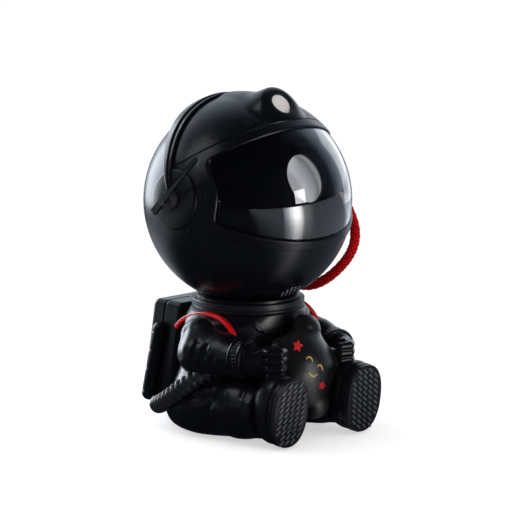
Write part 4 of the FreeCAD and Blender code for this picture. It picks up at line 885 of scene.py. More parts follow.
CHEST_SEAMS = []
for shift in SEAM_SHIFTS:
    seam = ([tuple(on_surface(torso, (x + shift, y))) for x, y in CHEST_SEAM_PIXELS], 0.75, -0.45)
    CHEST_SEAMS += [seam, *mirrored([seam])]


def folded(result, points, folds):
    """A field with soft folds laid into its surface."""
    for route, width, depth in folds:
        result = result + crease(points, route, width, depth)
    return result


def suit_field(points):
    legs = np.full(len(points), FAR)
    for side, _ in SIDES:
        hip, knee, end = ((side * LEG_ACROSS, y, LEG_HIGH) for y in (-4.0, -31.0, -50.0))
        limb = rod(points, hip, knee, LEG_RADIUS, LEG_RADIUS)
        tip = rod(points, knee, end, LEG_RADIUS - 0.2, LEG_RADIUS - 2.4)
        legs = np.minimum(legs, shared(joined(limb, tip, 3.0), -(points[:, 1] + 52.2), 1.5))
    result = folded(joined(torso(points), legs, 7.0), points, SUIT_FOLDS + CHEST_SEAMS)
    result = shared(result, 1.25 - points[:, 2], 1.0)
    base = np.hypot(points[:, 0] / 42.2, (points[:, 1] - 3.0) / 31.2) - 1
    result = np.maximum(result, -np.maximum(base * 33, points[:, 2] - 3.8))
    return np.maximum(result, -drum(points, (0, 0, 86.0), UP, 33.5, 13.0, 0.3))


# Shoulder, elbow, wrist and palm with the radius at each.
ARM_ROUTES = {
    "right": [((-42.0, 1.0, 64.5), 13.3), ((-49.5, -5.5, 55.5), 12.9), ((-41.5, -43.0, 55.5), 12.4),
              ((-31.0, -55.5, 55.5), 12.2)],
    "left": [((42.5, 1.0, 62.5), 13.3), ((50.5, -5.5, 52.5), 12.9), ((43.0, -41.0, 50.5), 12.2),
             ((33.0, -51.0, 50.5), 12.0)],
}
ARM_BOXES = {"right": ((-66, -72, 38), (-18, 18, 76)), "left": ((20, -72, 34), (67, 18, 74))}
ARM_FOLDS = {
    "right": [
        ([(-50, -8, 67.5), (-58, -12, 63.5), (-62.5, -12, 56), (-61, -12, 47)], 1.9, 1.25),
        ([(-46, -17, 67.6), (-55.5, -19, 63), (-60, -18, 55), (-58, -17, 46)], 1.9, 1.1),
        ([(-44, -23, 66.5), (-53, -25.5, 62.5), (-58.0, -25.5, 54), (-55, -24, 46)], 1.7, 0.85),
        ([(-52, 3, 70), (-60, 1, 64), (-63, -1, 55)], 2.4, 0.7),
        ([(-45, -30, 66.5), (-52.5, -31, 61), (-55.5, -31, 53)], 1.5, 0.5),
    ],
}
ARM_FOLDS["left"] = mirrored(ARM_FOLDS["right"], 0.8, 0.5, -3.6)
FOLD_DEEPER = 1.15


def along_arm(label, share):
    elbow, wrist = (np.array(ARM_ROUTES[label][joint][0]) for joint in (1, 2))
    return elbow + (wrist - elbow) * share


def sleeve(label):
    (shoulder, top), (elbow, bend), (wrist, end), _ = ARM_ROUTES[label]
    side = math.copysign(1.0, shoulder[0])
    folds = [(route, width, depth * FOLD_DEEPER) for route, width, depth in ARM_FOLDS[label]]
    axis = unit(along_arm(label, 1.0) - along_arm(label, 0.0))

    def field(points):
        upper = rod(points, shoulder, elbow, top, bend)
        lower = rod(points, elbow, wrist, bend, end - 0.3)
        fill = rod(points, (side * 41.5, -4.0, shoulder[2] - 1.0), (side * 43.0, -22.0, shoulder[2] - 4.5),
                   11.6, 10.6)
        result = folded(joined(joined(upper, lower, 5.0), fill, 5.0), points, folds)
        return shared(result, (points - along_arm(label, 0.80)) @ axis, 0.5)
    return field


CUFF_RADIUS = 12.75
CUFF_INSIDE = 9.5
KNURLS = 34


def cuff(label):
    low, high = along_arm(label, 0.735), along_arm(label, 1.0)
    axis, half, middle = unit(high - low), np.linalg.norm(high - low) / 2, (low + high) / 2
    side, up, _ = axes_along(axis)

    def field(points):
        away = points - middle
        along = away @ axis
        flat = away - along[:, None] * axis
        around = length(flat)
        rims = 0.35 * swell(along + half - 1.6, 0.9) + 0.35 * swell(along - half + 1.8, 0.9)
        turn = np.arctan2(flat @ up, flat @ side)
        knurl = 0.22 * np.cos(turn * KNURLS) * np.exp(-((along - 0.2) / 1.6) ** 4)
        ring = shared(around - (CUFF_RADIUS + rims) - knurl, np.abs(along) - half, 0.9)
        return np.maximum(ring, CUFF_INSIDE - around)
    return field


# Knuckles from above, heights of the four fingers, their radius, and the thumb.
FINGERS = {
    "right": ([(-39.4, -58.6), (-33.8, -62.8), (-28.4, -60.6)], (61.6, 56.4, 51.1, 45.9), 3.3,
              [(-42.0, -50.5, 59.5), (-37.5, -55.0, 62.6), (-33.0, -57.8, 63.0)]),
    "left": ([(39.6, -55.0), (34.0, -59.6), (27.4, -58.0)], (56.6, 52.0, 47.3, 43.0), 3.0,
             [(42.0, -47.5, 55.5), (37.5, -52.0, 58.4), (33.0, -55.0, 58.6)]),
}
FINGER_SIZES = (1.0, 1.03, 0.98, 0.86)


def finger(points, line, root, middle, tip):
    """Two bones along a line of three points, with the radius at each."""
    return np.minimum(rod(points, line[0], line[1], root, middle),
                      rod(points, line[1], line[2], middle, tip))


def glove(label):
    flat, heights, radius, thumb = FINGERS[label]
    side = -1 if label == "right" else 1
    heel = np.array(ARM_ROUTES[label][3][0]) + (side * 2.0, 3.0, -4.0)

    def field(points):
        fingers = None
        for high, size in zip(heights, (radius * share for share in FINGER_SIZES)):
            one = finger(points, [(x, y, high) for x, y in flat], size * 0.97, size, size * 0.86)
            fingers = one if fingers is None else joined(fingers, one, 0.8)
        result = joined(rod(points, along_arm(label, 0.96), heel, 11.0, 8.0), fingers, 2.4)
        return joined(result, finger(points, thumb, radius * 1.1, radius, radius * 0.85), 1.6)
    return field


FOOT_LEAN = math.radians(7)
SOLE_HALF = (15.75, 23.0)
SOLE_REACH = 74.3
SOLE_THICK = 4.0
SOLE_SQUARENESS = 2.3                       # a little squarer than an ellipse, whose value is 2
SOLE_POINTS = 120
GROUND_GAP = 0.03
BOOT_PROFILE = [                            # how far from the sole's face, and the share of the sole's size
    (4.06, 0.90), (4.06, 0.975), (4.35, 0.99), (6.6, 0.99), (7.0, 0.975), (7.35, 0.93), (7.6, 0.922),
    (7.9, 0.93), (8.3, 0.955), (9.2, 0.978), (10.4, 0.99), (12.0, 0.995), (14.5, 0.985), (17.0, 0.965),
    (19.5, 0.93), (22.0, 0.865), (24.2, 0.78), (25.4, 0.70), (25.6, 0.5)]
SOLE_PROFILE = [(1.25, 0.93), (0.95, 0.945), (0.80, 0.96), (0.95, 0.975), (1.3, 0.982), (3.6, 0.982),
                (3.95, 0.972), (4.02, 0.94)]
STUD_PROFILE = ((1.25, 1.35), (0.95, 0.60), (0.55, 0.15), (0.30, 0.08))
STUD_HALF = (2.3, 0.75)
STUD_PITCH = (4.9, 3.75)
STUD_SLANT = math.radians(-41)
TREAD_MARGIN = 1.9


def foot_points(side, points):
    """Points of a foot, given as across, out from the sole's face (backwards) and up from its middle."""
    points = np.array(points, float)
    rise = SOLE_HALF[1] * math.cos(FOOT_LEAN) + SOLE_THICK * math.sin(FOOT_LEAN)
    x = side * LEG_ACROSS + points[..., 0]
    y = -SOLE_REACH + points[..., 1] * math.cos(FOOT_LEAN) - points[..., 2] * math.sin(FOOT_LEAN)
    z = rise + points[..., 1] * math.sin(FOOT_LEAN) + points[..., 2] * math.cos(FOOT_LEAN)
    return np.stack([x, y, z], axis=-1)


def turned_by(first, second, angle):
    """Two distances at right angles, turned in their plane."""
    return (first * math.cos(angle) - second * math.sin(angle),
            first * math.sin(angle) + second * math.cos(angle))


def boot_skin(side, profile):
    """Points and faces through the ovals of a profile, none under the ground."""
    turn = circle(SOLE_POINTS)
    flat = [np.sign(wave) * np.abs(wave) ** (2 / SOLE_SQUARENESS) * half
            for wave, half in zip((np.cos(turn), np.sin(turn)), SOLE_HALF)]
    ovals = [np.stack([flat[0] * share, np.full(SOLE_POINTS, along), flat[1] * share], axis=-1)
             for along, share in profile]
    points, faces = skin([foot_points(side, oval) for oval in ovals])
    points[:, 2] = np.maximum(points[:, 2], GROUND_GAP)
    return points, faces


def stud(side, x, z):
    """A raised bar of the tread with sloping sides."""
    rings = []
    for share, along in STUD_PROFILE:
        half_long, half_wide = STUD_HALF[0] * (1 - (1 - share) * 0.35), STUD_HALF[1] * share
        corners = rounded_outline([(-half_long, -half_wide), (half_long, -half_wide),
                                   (half_long, half_wide), (-half_long, half_wide)], 0.3, 2)
        across, up = turned_by(corners[:, 0], corners[:, 1], side * STUD_SLANT)
        flat = np.stack([x + across, np.full(len(corners), along), z + up], axis=-1)
        rings.append(foot_points(side, flat))
    return skin(rings)


def build_boot(side, label):
    upper = outward(make_mesh("boot_upper_" + label, *boot_skin(side, BOOT_PROFILE)))
    finished(upper, SUIT, ["boot_" + label])
    face = make_mesh("sole_face_" + label, *boot_skin(side, SOLE_PROFILE))
    studs = []
    for row in range(-7, 8):
        for column in range(-5, 6):
            x, z = column * STUD_PITCH[0] - side * row * 0.32, row * STUD_PITCH[1]
            inset = sum((abs(place) / (half - TREAD_MARGIN)) ** SOLE_SQUARENESS
                        for place, half in zip((x, z), SOLE_HALF))
            if inset <= 1.0:
                studs.append(stud(side, x, z))
    tread = joined_mesh("sole_tread_" + label, studs)
    finished(face, RUBBER, ["sole_" + label])
    # the bars take the lighter finish of painted highlight
    finished(tread, TREAD_PAINTED_HIGHLIGHT)


STAR_CENTRE = np.array((0.0, -49.5, 45.5))
STAR_AXES = np.array(((1.0, 0.0, 0.0), (0.0, 0.208, 0.978), (0.0, -0.978, 0.208)))   # right, up and out
STAR_LOBES = ((70, 24.6, 11.0), (142, 20.0, 9.6), (214, 24.6, 11.0), (286, 24.6, 11.0), (358, 24.6, 11.0))


def star_field(points):
    flat = (points - STAR_CENTRE) @ STAR_AXES.T * (1, 1, 1.28)
    result = np.full(len(points), FAR)
    for turn, reach, radius in STAR_LOBES:
        tip = (*turned_by(reach, 0.0, math.radians(turn)), 0)
        result = joined(result, rod(flat, (0, 0, 0), tip, 16.5, radius) * 0.88, 9.0)
    return result


def build_figure():
    finished(field_piece("suit", suit_field, (-60, -55, 0), (60, 47, 82), 0.62), SUIT,
             ["body_front_shell", "body_rear_shell"])
    for side, label in SIDES:
        box = ARM_BOXES[label]
        finished(field_piece("sleeve_" + label, sleeve(label), *box, 0.5), SUIT, ["arm_" + label])
        finished(field_piece("cuff_" + label, cuff(label), *box, 0.36), SUIT)
        finished(field_piece("glove_" + label, glove(label), *box, 0.42), SUIT)
        build_boot(side, label)
    finished(field_piece("star_plush", star_field, STAR_CENTRE - 42, STAR_CENTRE + 42, 0.6), STAR,
             ["star_cushion"])


build_figure()

# ------------------------------------------------------------------ neck, straps, hoses

COLLAR_OUTLINE = [(31.0, 80.35), (36.4, 80.35), (36.55, 81.7), (35.95, 82.05), (36.2, 82.5), (37.05, 82.75),
                  (37.05, 86.1), (36.6, 86.5), (31.0, 86.5)]
SEAT_OUTLINE = [(22.3, 83.4), (30.7, 83.4), (30.7, 86.62), (34.35, 86.62), (34.35, 88.35), (33.6, 88.5)]
SEAT_RADIUS = 68.85
STRAP_ACROSS = 38.0
STRAP_SIDE = [(31.0, 63.4), (29.5, 66.5), (23.5, 72.8), (13.5, 77.8), (2.5, 80.4), (-5.5, 80.7),
              (-14.0, 79.0), (-21.0, 75.2), (-25.5, 70.5), (-28.2, 65.6)]
STRAP_SECTION = [(-1.85, -2.6), (1.85, -2.6), (1.85, 0.0), (-1.85, 0.0)]
PIPE_ROUTE = [(36.0, 44.0, 14.0), (46.5, 36.0, 15.5), (54.8, 24.0, 19.5), (58.0, 12.0, 26.0),
              (57.5, 0.0, 34.5), (53.5, -10.0, 42.0), (45.0, -16.0, 47.0)]
RING_PITCH = 5.0
RING_RADIUS, RING_SWELL = 4.40, 1.75
DUCT_POINTS = 56


def build_neck():
    seat = [(radius, HEAD[2] - math.sqrt(SEAT_RADIUS ** 2 - radius ** 2), 0.0)
            for radius in np.linspace(32.6, 22.3, 12)]
    for name, outline, edge, material, node, body in (
            ("collar_band", COLLAR_OUTLINE, 0.3, COLLAR, "collar_ring", "figure"),
            ("seat_lip", SEAT_OUTLINE + seat, 0.25, BLACK, "seat_ring", "neck_seat")):
        finished(lathe(name, rounded_outline(outline, edge, 4), (0, 0, 0), UP, 160), material, [node], body)


def build_straps():
    section = rounded_outline(STRAP_SECTION, 0.75)
    for side, label in SIDES:
        line = smooth_route([(side * STRAP_ACROSS, y, z) for y, z in STRAP_SIDE], 1.0)[5:-3]
        finished(bar("strap_" + label, line, section, (0, 0.05, 1)), STRAP_RED, ["shoulder_strap_" + label])


def build_ducts():
    for side, label in SIDES:
        line = smooth_route([(side * x, y, z) for x, y, z in PIPE_ROUTE], 0.25 * FINE)
        wave = 0.5 + 0.5 * np.cos(2 * math.pi * distances(line) / RING_PITCH)
        radii = np.tile((RING_RADIUS + RING_SWELL * wave ** 0.60)[:, None], (1, DUCT_POINTS))
        finished(tube("waist_duct_" + label, line, radii), DUCT, ["waist_hose_" + label])


HOSE_POINTS = [(0.0736, -0.005, 0.153), (0.0736, -0.015, 0.144), (0.071, -0.025, 0.135),
               (0.067, -0.033, 0.1263), (0.0613, -0.0378, 0.1175), (0.0558, -0.0372, 0.109),
               (0.0515, -0.032, 0.101), (0.0495, -0.024, 0.0942), (0.049, -0.014, 0.0891),
               (0.049, -0.004, 0.0868), (0.047, 0.0055, 0.0884), (0.0432, 0.0136, 0.0934)]
HOSE_AROUND = 88
HOSE_RADIUS, BRAID_HIGH = 2.65, 0.82
LAY = 16.0                                  # millimetres in which a strand goes once round the hose
STRANDS = 6


def spline_points(points):
    """Points read from a smooth spline with the given control points, in metres."""
    data = bpy.data.curves.new("route", "CURVE")
    data.dimensions = "3D"
    data.resolution_u = 24
    spline = data.splines.new("NURBS")
    spline.points.add(len(points) - 1)
    for place, point in zip(spline.points, points):
        place.co = (*point, 1.0)
    spline.order_u = 3
    spline.use_endpoint_u = True
    holder = bpy.data.objects.new("route", data)
    bpy.context.scene.collection.objects.link(holder)
    bpy.context.view_layer.update()
    mesh = bpy.data.meshes.new_from_object(holder)
    line = np.array([tuple(vertex.co) for vertex in mesh.vertices])
    bpy.data.objects.remove(holder)
    bpy.data.curves.remove(data)
    bpy.data.meshes.remove(mesh)
    return line


def braided(run):
    """Height of the strands, 0 to 1, at each point along and round the hose."""
    turn, wound = circle(HOSE_AROUND)[None, :], run[:, None] / LAY * 2 * math.pi
    one, two = wound + turn, wound - turn
    first, second = (np.abs(np.sin(way * STRANDS / 2)) ** 1.3 for way in (one, two))
    over = 0.5 + 0.5 * np.sin((one + two) * STRANDS / 4) * np.sin((one - two) * STRANDS / 4) * 1.4
    over = np.clip(over, 0, 1)
    return np.maximum(first * (0.55 + 0.45 * over), second * (1.0 - 0.45 * over))


def build_hose():
    route = spline_points(HOSE_POINTS)
    line = even_route(route / MM, 0.30 * FINE)
    relief = braided(distances(line))
    hose = tube("hose_braid", line, HOSE_RADIUS + BRAID_HIGH * relief)
    # the strand heights that drive the yarn's painted shade between the strands
    strand_height = hose.data.color_attributes.new("strand_height", "FLOAT_COLOR", "POINT")
    shades = np.ones((len(hose.data.vertices), 4))
    shades[:relief.size, :3] = relief.reshape(-1, 1)
    strand_height.data.foreach_set("color", shades.ravel())
    finished(hose, YARN_PAINTED_SHADE, ["braided_hose"], "head")


# ------------------------------------------------------------------ antenna, buttons, optics, backpack

ANTENNA_PIN = HEAD + EAR + (-77.3, 0, 0)
ANTENNA_ROOT = [(-11.9, -2.35), (8.2, -2.35), (9.2, -1.5), (9.2, 1.5), (8.2, 2.35), (-11.9, 2.35)]
ANTENNA_TIP = [(8.0, -1.5), (44.6, -1.4), (44.6, 1.4), (8.0, 1.5)]


def plate(outline, inner, outer, edge):
    """A flat piece of the antenna with its rims bevelled, between two distances across."""
    rings = []
    centre = outline.mean(axis=0)
    away = outline - centre
    size = np.maximum(length(away), 1e-6)[:, None]
    for share, across in ((edge, inner), (0.0, inner - edge), (0.0, outer + edge),
                          (edge * 0.35, outer + edge * 0.3), (edge, outer)):
        moved = centre + away * (1 - share / size)
        rings.append(ANTENNA_PIN + np.outer(moved[:, 0], direction(45.0))
                     + np.outer(moved[:, 1], direction(-45.0)) + np.array((across, 0, 0)))
    return skin(rings)


def build_antenna():
    """The blade, from its root to its tip, on the right ear, lying up and forward."""
    blade = joined_mesh("antenna_blade", [plate(rounded_outline(ANTENNA_ROOT, 0.7, 4), 1.2, -1.1, 0.7),
                                          plate(rounded_outline(ANTENNA_TIP, 0.6, 4), 1.1, -1.0, 0.6)])
    finished(blade, GLOSS, ["antenna_bar"], "antenna")


BUTTON_OUTLINE = [(0.0, 61.5, 0), (4.15, 61.5, 0.2), (4.15, 68.5, 0.6), (0.0, 68.9, 0)]
WINDOW_OUTLINE = [(0.0, 60.7, 0), (7.35, 60.7, 0.1), (7.35, 62.4, 0.5), (0.0, 62.9, 0)]
OPTIC_AXIS = direction(69.0)
LENS_RADIUS = 15.8
LENS_BACK, LENS_EDGE, LENS_SAG = 51.5, 2.0, 7.0


def build_buttons():
    outline = rounded_outline(BUTTON_OUTLINE, 0.5, 6, closed=False)
    for label, across in BUTTON_PLACES.items():
        thing = lathe(label + "_cap", outline, HEAD + (across, 0, 0), BUTTON_AXIS, 64)
        finished(thing, GLOSS, (), label)


def build_lens():
    ball = (LENS_RADIUS ** 2 + LENS_SAG ** 2) / (2 * LENS_SAG)
    crown = [(ball * math.sin(angle), LENS_BACK + LENS_EDGE + LENS_SAG - ball + ball * math.cos(angle))
             for angle in np.linspace(0.0, math.asin(LENS_RADIUS / ball), 28)]
    outline = [(0.0, LENS_BACK), (LENS_RADIUS - 0.02, LENS_BACK)] + crown[::-1]
    # the projection lens gets the glass with the painted glow
    finished(lathe("projection_glass", outline, HEAD, OPTIC_AXIS, 128), LENS_PAINTED_GLOW, ["projection_lens"], "head")
    outline = rounded_outline(WINDOW_OUTLINE, 0.4, closed=False)
    finished(lathe("forehead_window", outline, HEAD + LASER_SIDE * LENS_ASIDE, LASER_AXIS), MILKY,
             ["forehead_lens"], "head")


PACK_CORNERS = np.array([(29.0, 81.4), (56.2, 81.4), (67.2, 16.0), (40.0, 8.0)])     # back and up
PACK_HALF = 31.95
PACK_JOINT = 12.0                           # the groove's distance from the pack's back


def pack_field(points):
    """The backpack: a leaning box with rounded edges and a groove at its joint."""
    flat = points[:, 1:]
    result = np.full(len(points), -FAR)
    for start, end in zip(PACK_CORNERS, np.roll(PACK_CORNERS, -1, axis=0)):
        along = unit(end - start)
        result = shared(result, (flat - start) @ (-along[1], along[0]), 3.8)
    result = shared(result, np.abs(points[:, 0]) - PACK_HALF, 3.6)
    up = unit(PACK_CORNERS[1] - PACK_CORNERS[2])
    return result + 0.7 * swell((flat - PACK_CORNERS[2]) @ (up[1], -up[0]) + PACK_JOINT, 0.55)


TANK_TOP = np.array((0.0, 48.0, 62.0))
TANK_LOW = np.array((0.0, 58.5, 18.0))
TANK_ACROSS = 33.6
TANK_RADIUS = 4.95
TANK_GROOVES = (1.5, 17.5, 30.5, 43.5)


def tank_field(side):
    shift = np.array((side * TANK_ACROSS, 0, 0))
    low, high = TANK_LOW + shift, TANK_TOP + shift

    def field(points):
        along = (points - low) @ unit(high - low)
        result = rod(points, low, high, TANK_RADIUS, TANK_RADIUS)
        for place in TANK_GROOVES:
            result = result + 0.45 * swell(along - place, 0.55)
        return result
    return field


def build_pack():
    finished(field_piece("pack_case", pack_field, (-33, 27, 6), (33, 69, 83), 0.6), BLACK,
             ["backpack_front_shell", "backpack_rear_shell"])
    for side, label in SIDES:
        inner, outer = sorted((side * 27, side * 40))
        tank = field_piece("side_tank_" + label, tank_field(side), (inner, 40, 10), (outer, 66, 70), 0.45)
        finished(tank, BLACK, ["tank_" + label])


# ------------------------------------------------------------------ prints on the star

# Places are pixels of the photograph and rises are millimetres.
PRINT_RISE = 0.12
PRINT_SUNK = -0.1
STROKE_SECTION = ((-1.0, 0.0), (-0.5, 0.13), (0.0, 0.13), (0.5, 0.13), (1.0, 0.0))     # aside and rise
RED_STARS = {"red_star_high": ((296.8, 344.2), 7.0, 12), "red_star_low": ((321.0, 383.5), 4.9, 20)}
GOLD_STROKES = {
    "gold_eye_right": ([(305.4, 357.6), (306.4, 355.6), (309.0, 355.2), (311.0, 357.4), (311.7, 360.2)], 1.5),
    "gold_eye_left": ([(316.4, 365.2), (317.4, 363.3), (319.2, 363.0), (320.8, 365.4), (321.5, 368.6)], 1.5),
    "gold_mouth": ([(306.2, 364.8), (307.0, 368.6), (309.2, 372.0), (312.6, 374.2), (316.4, 372.0)], 2.0),
}


def star_surface(spot):
    """The point of the star's front seen at a pixel, and the outward slope there."""
    place = on_surface(star_field, spot)
    return place, unit(slopes(star_field, place[None, :])[0])


def raised(spot, rise):
    place, slope = star_surface(spot)
    return place + slope * rise


def printed(name, points, faces, checked, spot, material):
    """A print as a piece, turned over if the checked face looks into the star at a pixel."""
    thing = make_mesh(name, points, faces)
    if np.array(thing.data.polygons[checked].normal) @ star_surface(spot)[1] < 0:
        thing.data.flip_normals()
        smoothed(thing.data)
    return finished(thing, material)


def print_star(name, centre, radius, turn):
    """A thin raised star with five points."""
    corners = []
    for number in range(10):
        reach = radius if number % 2 == 0 else radius * 0.48
        across, down = turned_by(reach, 0.0, math.radians(turn - 90 + 36 * number))
        corners.append((centre[0] + across * 0.86, centre[1] + down))
    outline = rounded_outline(corners, 0.5, 2)
    centre = outline.mean(axis=0)
    steps = ((1.0, PRINT_SUNK), (0.97, PRINT_RISE), (0.66, PRINT_RISE), (0.33, PRINT_RISE))
    rings = [[raised(centre + (spot - centre) * share, rise) for spot in outline] for share, rise in steps]
    points, faces = skin(rings, caps=False)
    around, last = len(outline), len(points) - len(outline)
    faces += [(last + spot, last + (spot + 1) % around, len(points)) for spot in range(around)]
    points = np.vstack([points, raised(centre, PRINT_RISE)])
    printed(name, points, faces, len(faces) - 1, centre, PRINT_RED)


def print_stroke(name, points, width):
    """A brush stroke through points, thick in the middle."""
    line = smooth_route([(x, y, 0) for x, y in points], 0.5)[:, :2]
    heading = headings(line)
    half = width / 2 * (0.45 + 0.55 * np.sin(math.pi * np.linspace(0, 1, len(line))))[:, None]
    reach = np.stack([-heading[:, 1], heading[:, 0]], axis=1) * half
    rows = [[raised(spot + aside * share, rise) for share, rise in STROKE_SECTION]
            for spot, aside in zip(line, reach)]
    points, faces = skin(rows, closed_ring=False, caps=False)
    printed(name, points, faces, len(faces) // 2, line[len(line) // 2], PRINT_GOLD)


def build_prints():
    for name, shape in RED_STARS.items():
        print_star(name, *shape)
    for name, shape in GOLD_STROKES.items():
        print_stroke(name, *shape)


build_neck()
build_straps()
build_ducts()
build_hose()
build_antenna()
build_buttons()
build_lens()
build_pack()
build_prints()

# ------------------------------------------------------------------ finish of the remaining CAD pieces

NODE_FINISH = {
    "black_plastic": BLACK, "black_gloss": GLOSS, "dark_interior": INSIDE, "smoked_visor": SMOKED,
    "clear_lens": CLEAR, "milky_lens": MILKY, "nebula_glass": NEBULA, "red_plastic": STRAP_RED,
    "red_braid": YARN_PAINTED_SHADE, "steel": STEEL, "aluminium": ALUMINIUM, "iron": IRON, "circuit_board": BOARD,
    "white_nylon": NYLON, "rubber": RUBBER,
}
SLOT_NODES = {
    "black_gloss": ["button_laser", "button_power", "button_nebula"],
    "dark_interior": ["face_panel", "lens_barrel", "optics_bracket", "magnet_holder"],
    "clear_lens": ["condenser_lens"], "nebula_glass": ["nebula_disc"],
    "steel": ["helmet_screws", "base_screws", "head_steel_plate", "neck_magnet", "usb_port", "gear_motor",
              "speaker"],
    "aluminium": ["heat_sink", "laser_module"], "iron": ["counterweight"],
    "circuit_board": ["led_board", "button_board", "main_board", "tact_switches"],
    "white_nylon": ["motor_pinion"], "rubber": ["rubber_pad"],
}


def finish_nodes():
    places = {node: name for name, nodes in SLOT_NODES.items() for node in nodes}
    for thing in bpy.data.objects:
        if thing.type != "MESH" or "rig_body" in thing or thing.hide_render:
            continue
        finish = NODE_FINISH[places.get(thing.name, "black_plastic")]
        thing.data.materials.clear()
        thing.data.materials.append(finish)


finish_nodes()

# ------------------------------------------------------------------ floor, lights, world

WHITE = (1.0, 1.0, 1.0, 1.0)
FLOOR_HALF = 6.0
FLOOR_DROP = 0.0002                         # metres under the ground, so that the soles stay clear of it
SHEEN_STRENGTH = 12.0
FLOOR_SHEEN = [                             # axis, scale, shift and the colours along the axis
    (RIGHT * 0.60 - LEVEL * 0.80, 1.0, 0.5,
     [grey(0.24, 0.0), (0.36, (0.34, 0.36, 0.38)), grey(0.50, 1.0), grey(0.58, 0.8), grey(0.68, 0.1),
      grey(0.9, 0.0)]),
    (RIGHT, 0.5, 0.4,
     [grey(0.42, 0.0), grey(0.46, 0.12), grey(0.51, 0.2), grey(0.575, 0.42), grey(0.70, 0.75),
      grey(1.0, 0.75)]),
    (RIGHT, 1.0, 0.5,
     [(0.55, (0.001, 0.0012, 0.002)), (0.66, (0.011, 0.0125, 0.015)), (0.80, (0.020, 0.022, 0.026))]),
    (RIGHT * 0.50 + LEVEL * 0.87, 0.6, 0.5,
     [grey(0.10, 0.0), (0.22, (0.034, 0.037, 0.042)), (0.35, (0.045, 0.050, 0.056)), grey(0.42, 0.0)]),
]
WORLD_SHEEN = [(0.0, (0.80, 0.90, 1.0)), (0.16, (0.50, 0.60, 0.72)), (0.32, (0.05, 0.065, 0.10)),
               (0.50, (0.002, 0.003, 0.007))]


def shader_mix(tree, factor, first, second):
    return add_node(tree, "MixShader", {"Fac": factor, 1: first, 2: second}).outputs[0]


def emission(tree, colour, strength=1.0):
    return add_node(tree, "Emission", {"Color": colour, "Strength": strength}).outputs[0]


def vector_math(tree, operation, *inputs):
    return add_node(tree, "VectorMath", dict(enumerate(inputs)), operation=operation)


def ray_kinds(tree):
    """Whether a ray is the camera's, and whether it is a reflection or has passed through glass."""
    paths = add_node(tree, "LightPath").outputs
    either = add_node(tree, "Math", {0: paths["Is Glossy Ray"], 1: paths["Is Transmission Ray"]},
                      operation="MAXIMUM")
    return paths["Is Camera Ray"], either.outputs[0]


def build_floor():
    """A pale floor that shows the object's soft shadow.

    In reflections it is dark, with a bright streak at the front right and a faint glow behind on the left.
    """
    mesh = bpy.data.meshes.new("floor")
    corners = ((-1, -1), (1, -1), (1, 1), (-1, 1))
    mesh.from_pydata([(x * FLOOR_HALF, y * FLOOR_HALF, 0) for x, y in corners], [], [(0, 1, 2, 3)])
    floor = bpy.data.objects.new("floor", mesh)
    bpy.context.scene.collection.objects.link(floor)
    floor.location.z = -FLOOR_DROP
    material = bpy.data.materials.new("pale_floor")
    material.use_nodes = True
    tree = material.node_tree
    tree.nodes.clear()
    seen, glossy = ray_kinds(tree)
    place = texture_place(tree)
    diffuse = add_node(tree, "BsdfDiffuse", {"Color": (0.80, 0.80, 0.80, 1)}).outputs[0]
    lit = add_node(tree, "AddShader", {0: diffuse, 1: emission(tree, WHITE, 0.55)}).outputs[0]
    near = ramp(tree, vector_math(tree, "LENGTH", place).outputs["Value"], grey(0.10, 1), grey(0.30, 0))
    shown = shader_mix(tree, near, emission(tree, WHITE), lit)
    sources = (vector_math(tree, "NORMALIZE", place).outputs[0], place, place, place)
    glows = [ramp(tree, level(tree, source, axis, scale, shift), *stops)
             for source, (axis, scale, shift, stops) in zip(sources, FLOOR_SHEEN)]
    streak = vector_math(tree, "MULTIPLY", glows[0], glows[1]).outputs[0]
    rest = vector_math(tree, "ADD", glows[2], glows[3]).outputs[0]
    sheen = emission(tree, vector_math(tree, "ADD", streak, rest).outputs[0], SHEEN_STRENGTH)
    unseen = shader_mix(tree, glossy, diffuse, sheen)
    add_node(tree, "OutputMaterial", {"Surface": shader_mix(tree, seen, unseen, shown)})
    mesh.materials.append(material)


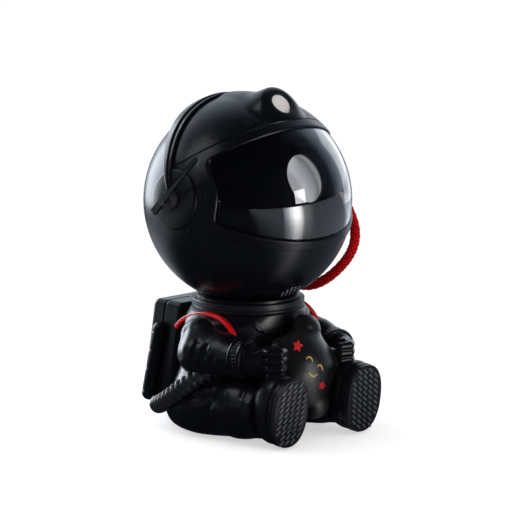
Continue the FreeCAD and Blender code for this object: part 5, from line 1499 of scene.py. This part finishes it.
def build_world():
    """White to the camera, even light for the rest, and in reflections dark except behind the object."""
    world = bpy.data.worlds.new("studio")
    bpy.context.scene.world = world
    world.use_nodes = True
    tree = world.node_tree
    tree.nodes.clear()
    seen, glossy = ray_kinds(tree)
    way = add_node(tree, "TexCoord").outputs["Generated"]
    behind = ramp(tree, level(tree, way, LEVEL, 0.5, 0.5), *WORLD_SHEEN)
    even, sky, shown = (add_node(tree, "Background", {"Color": colour, "Strength": strength}).outputs[0]
                        for colour, strength in ((WHITE, 0.60), (behind, 1.0), (WHITE, 1.0)))
    unseen = shader_mix(tree, glossy, even, sky)
    add_node(tree, "OutputWorld", {"Surface": shader_mix(tree, seen, unseen, shown)})


OBJECT_MIDDLE = Vector((0, 0, 0.12))
SOFTBOXES = {                               # direction, distance, width, height, watts and colour
    "key_box": (-RIGHT * 0.68 + LEVEL * 0.16 + UP * 0.74, 1.0, 0.45, 0.45, 1.05, (0.92, 0.96, 1.0)),
    "fill_box": (-RIGHT * 0.80 + LEVEL * 0.42 + UP * 0.32, 1.0, 0.20, 0.70, 0.15, (0.90, 0.95, 1.0)),
    "left_box": (-RIGHT * 0.76 - LEVEL * 0.64 + UP * 0.08, 0.9, 0.6, 0.9, 9.5, (0.86, 0.92, 1.0)),
    "front_box": (Vector((0.24, -0.96, 0.16)), 1.1, 0.24, 0.24, 0.9, (1, 1, 1)),
    "right_box": (RIGHT * 0.57 - LEVEL * 0.82 + UP * 0.05, 1.0, 0.5, 0.9, 1.1, (1, 1, 1)),
}


def build_lights():
    """Area lights, each standing in a direction from the object and facing it."""
    for name, (heading, away, wide, tall, watts, colour) in SOFTBOXES.items():
        data = bpy.data.lights.new(name, "AREA")
        data.shape = "RECTANGLE"
        data.size, data.size_y = wide, tall
        data.energy = watts
        data.color = colour
        light = bpy.data.objects.new(name, data)
        bpy.context.scene.collection.objects.link(light)
        heading = heading.normalized()
        light.location = OBJECT_MIDDLE + heading * away
        light.rotation_euler = heading.to_track_quat("Z", "Y").to_euler()
        light.visible_camera = False


build_floor()
build_world()
build_lights()

scene = bpy.context.scene
scene.view_settings.view_transform = "Standard"
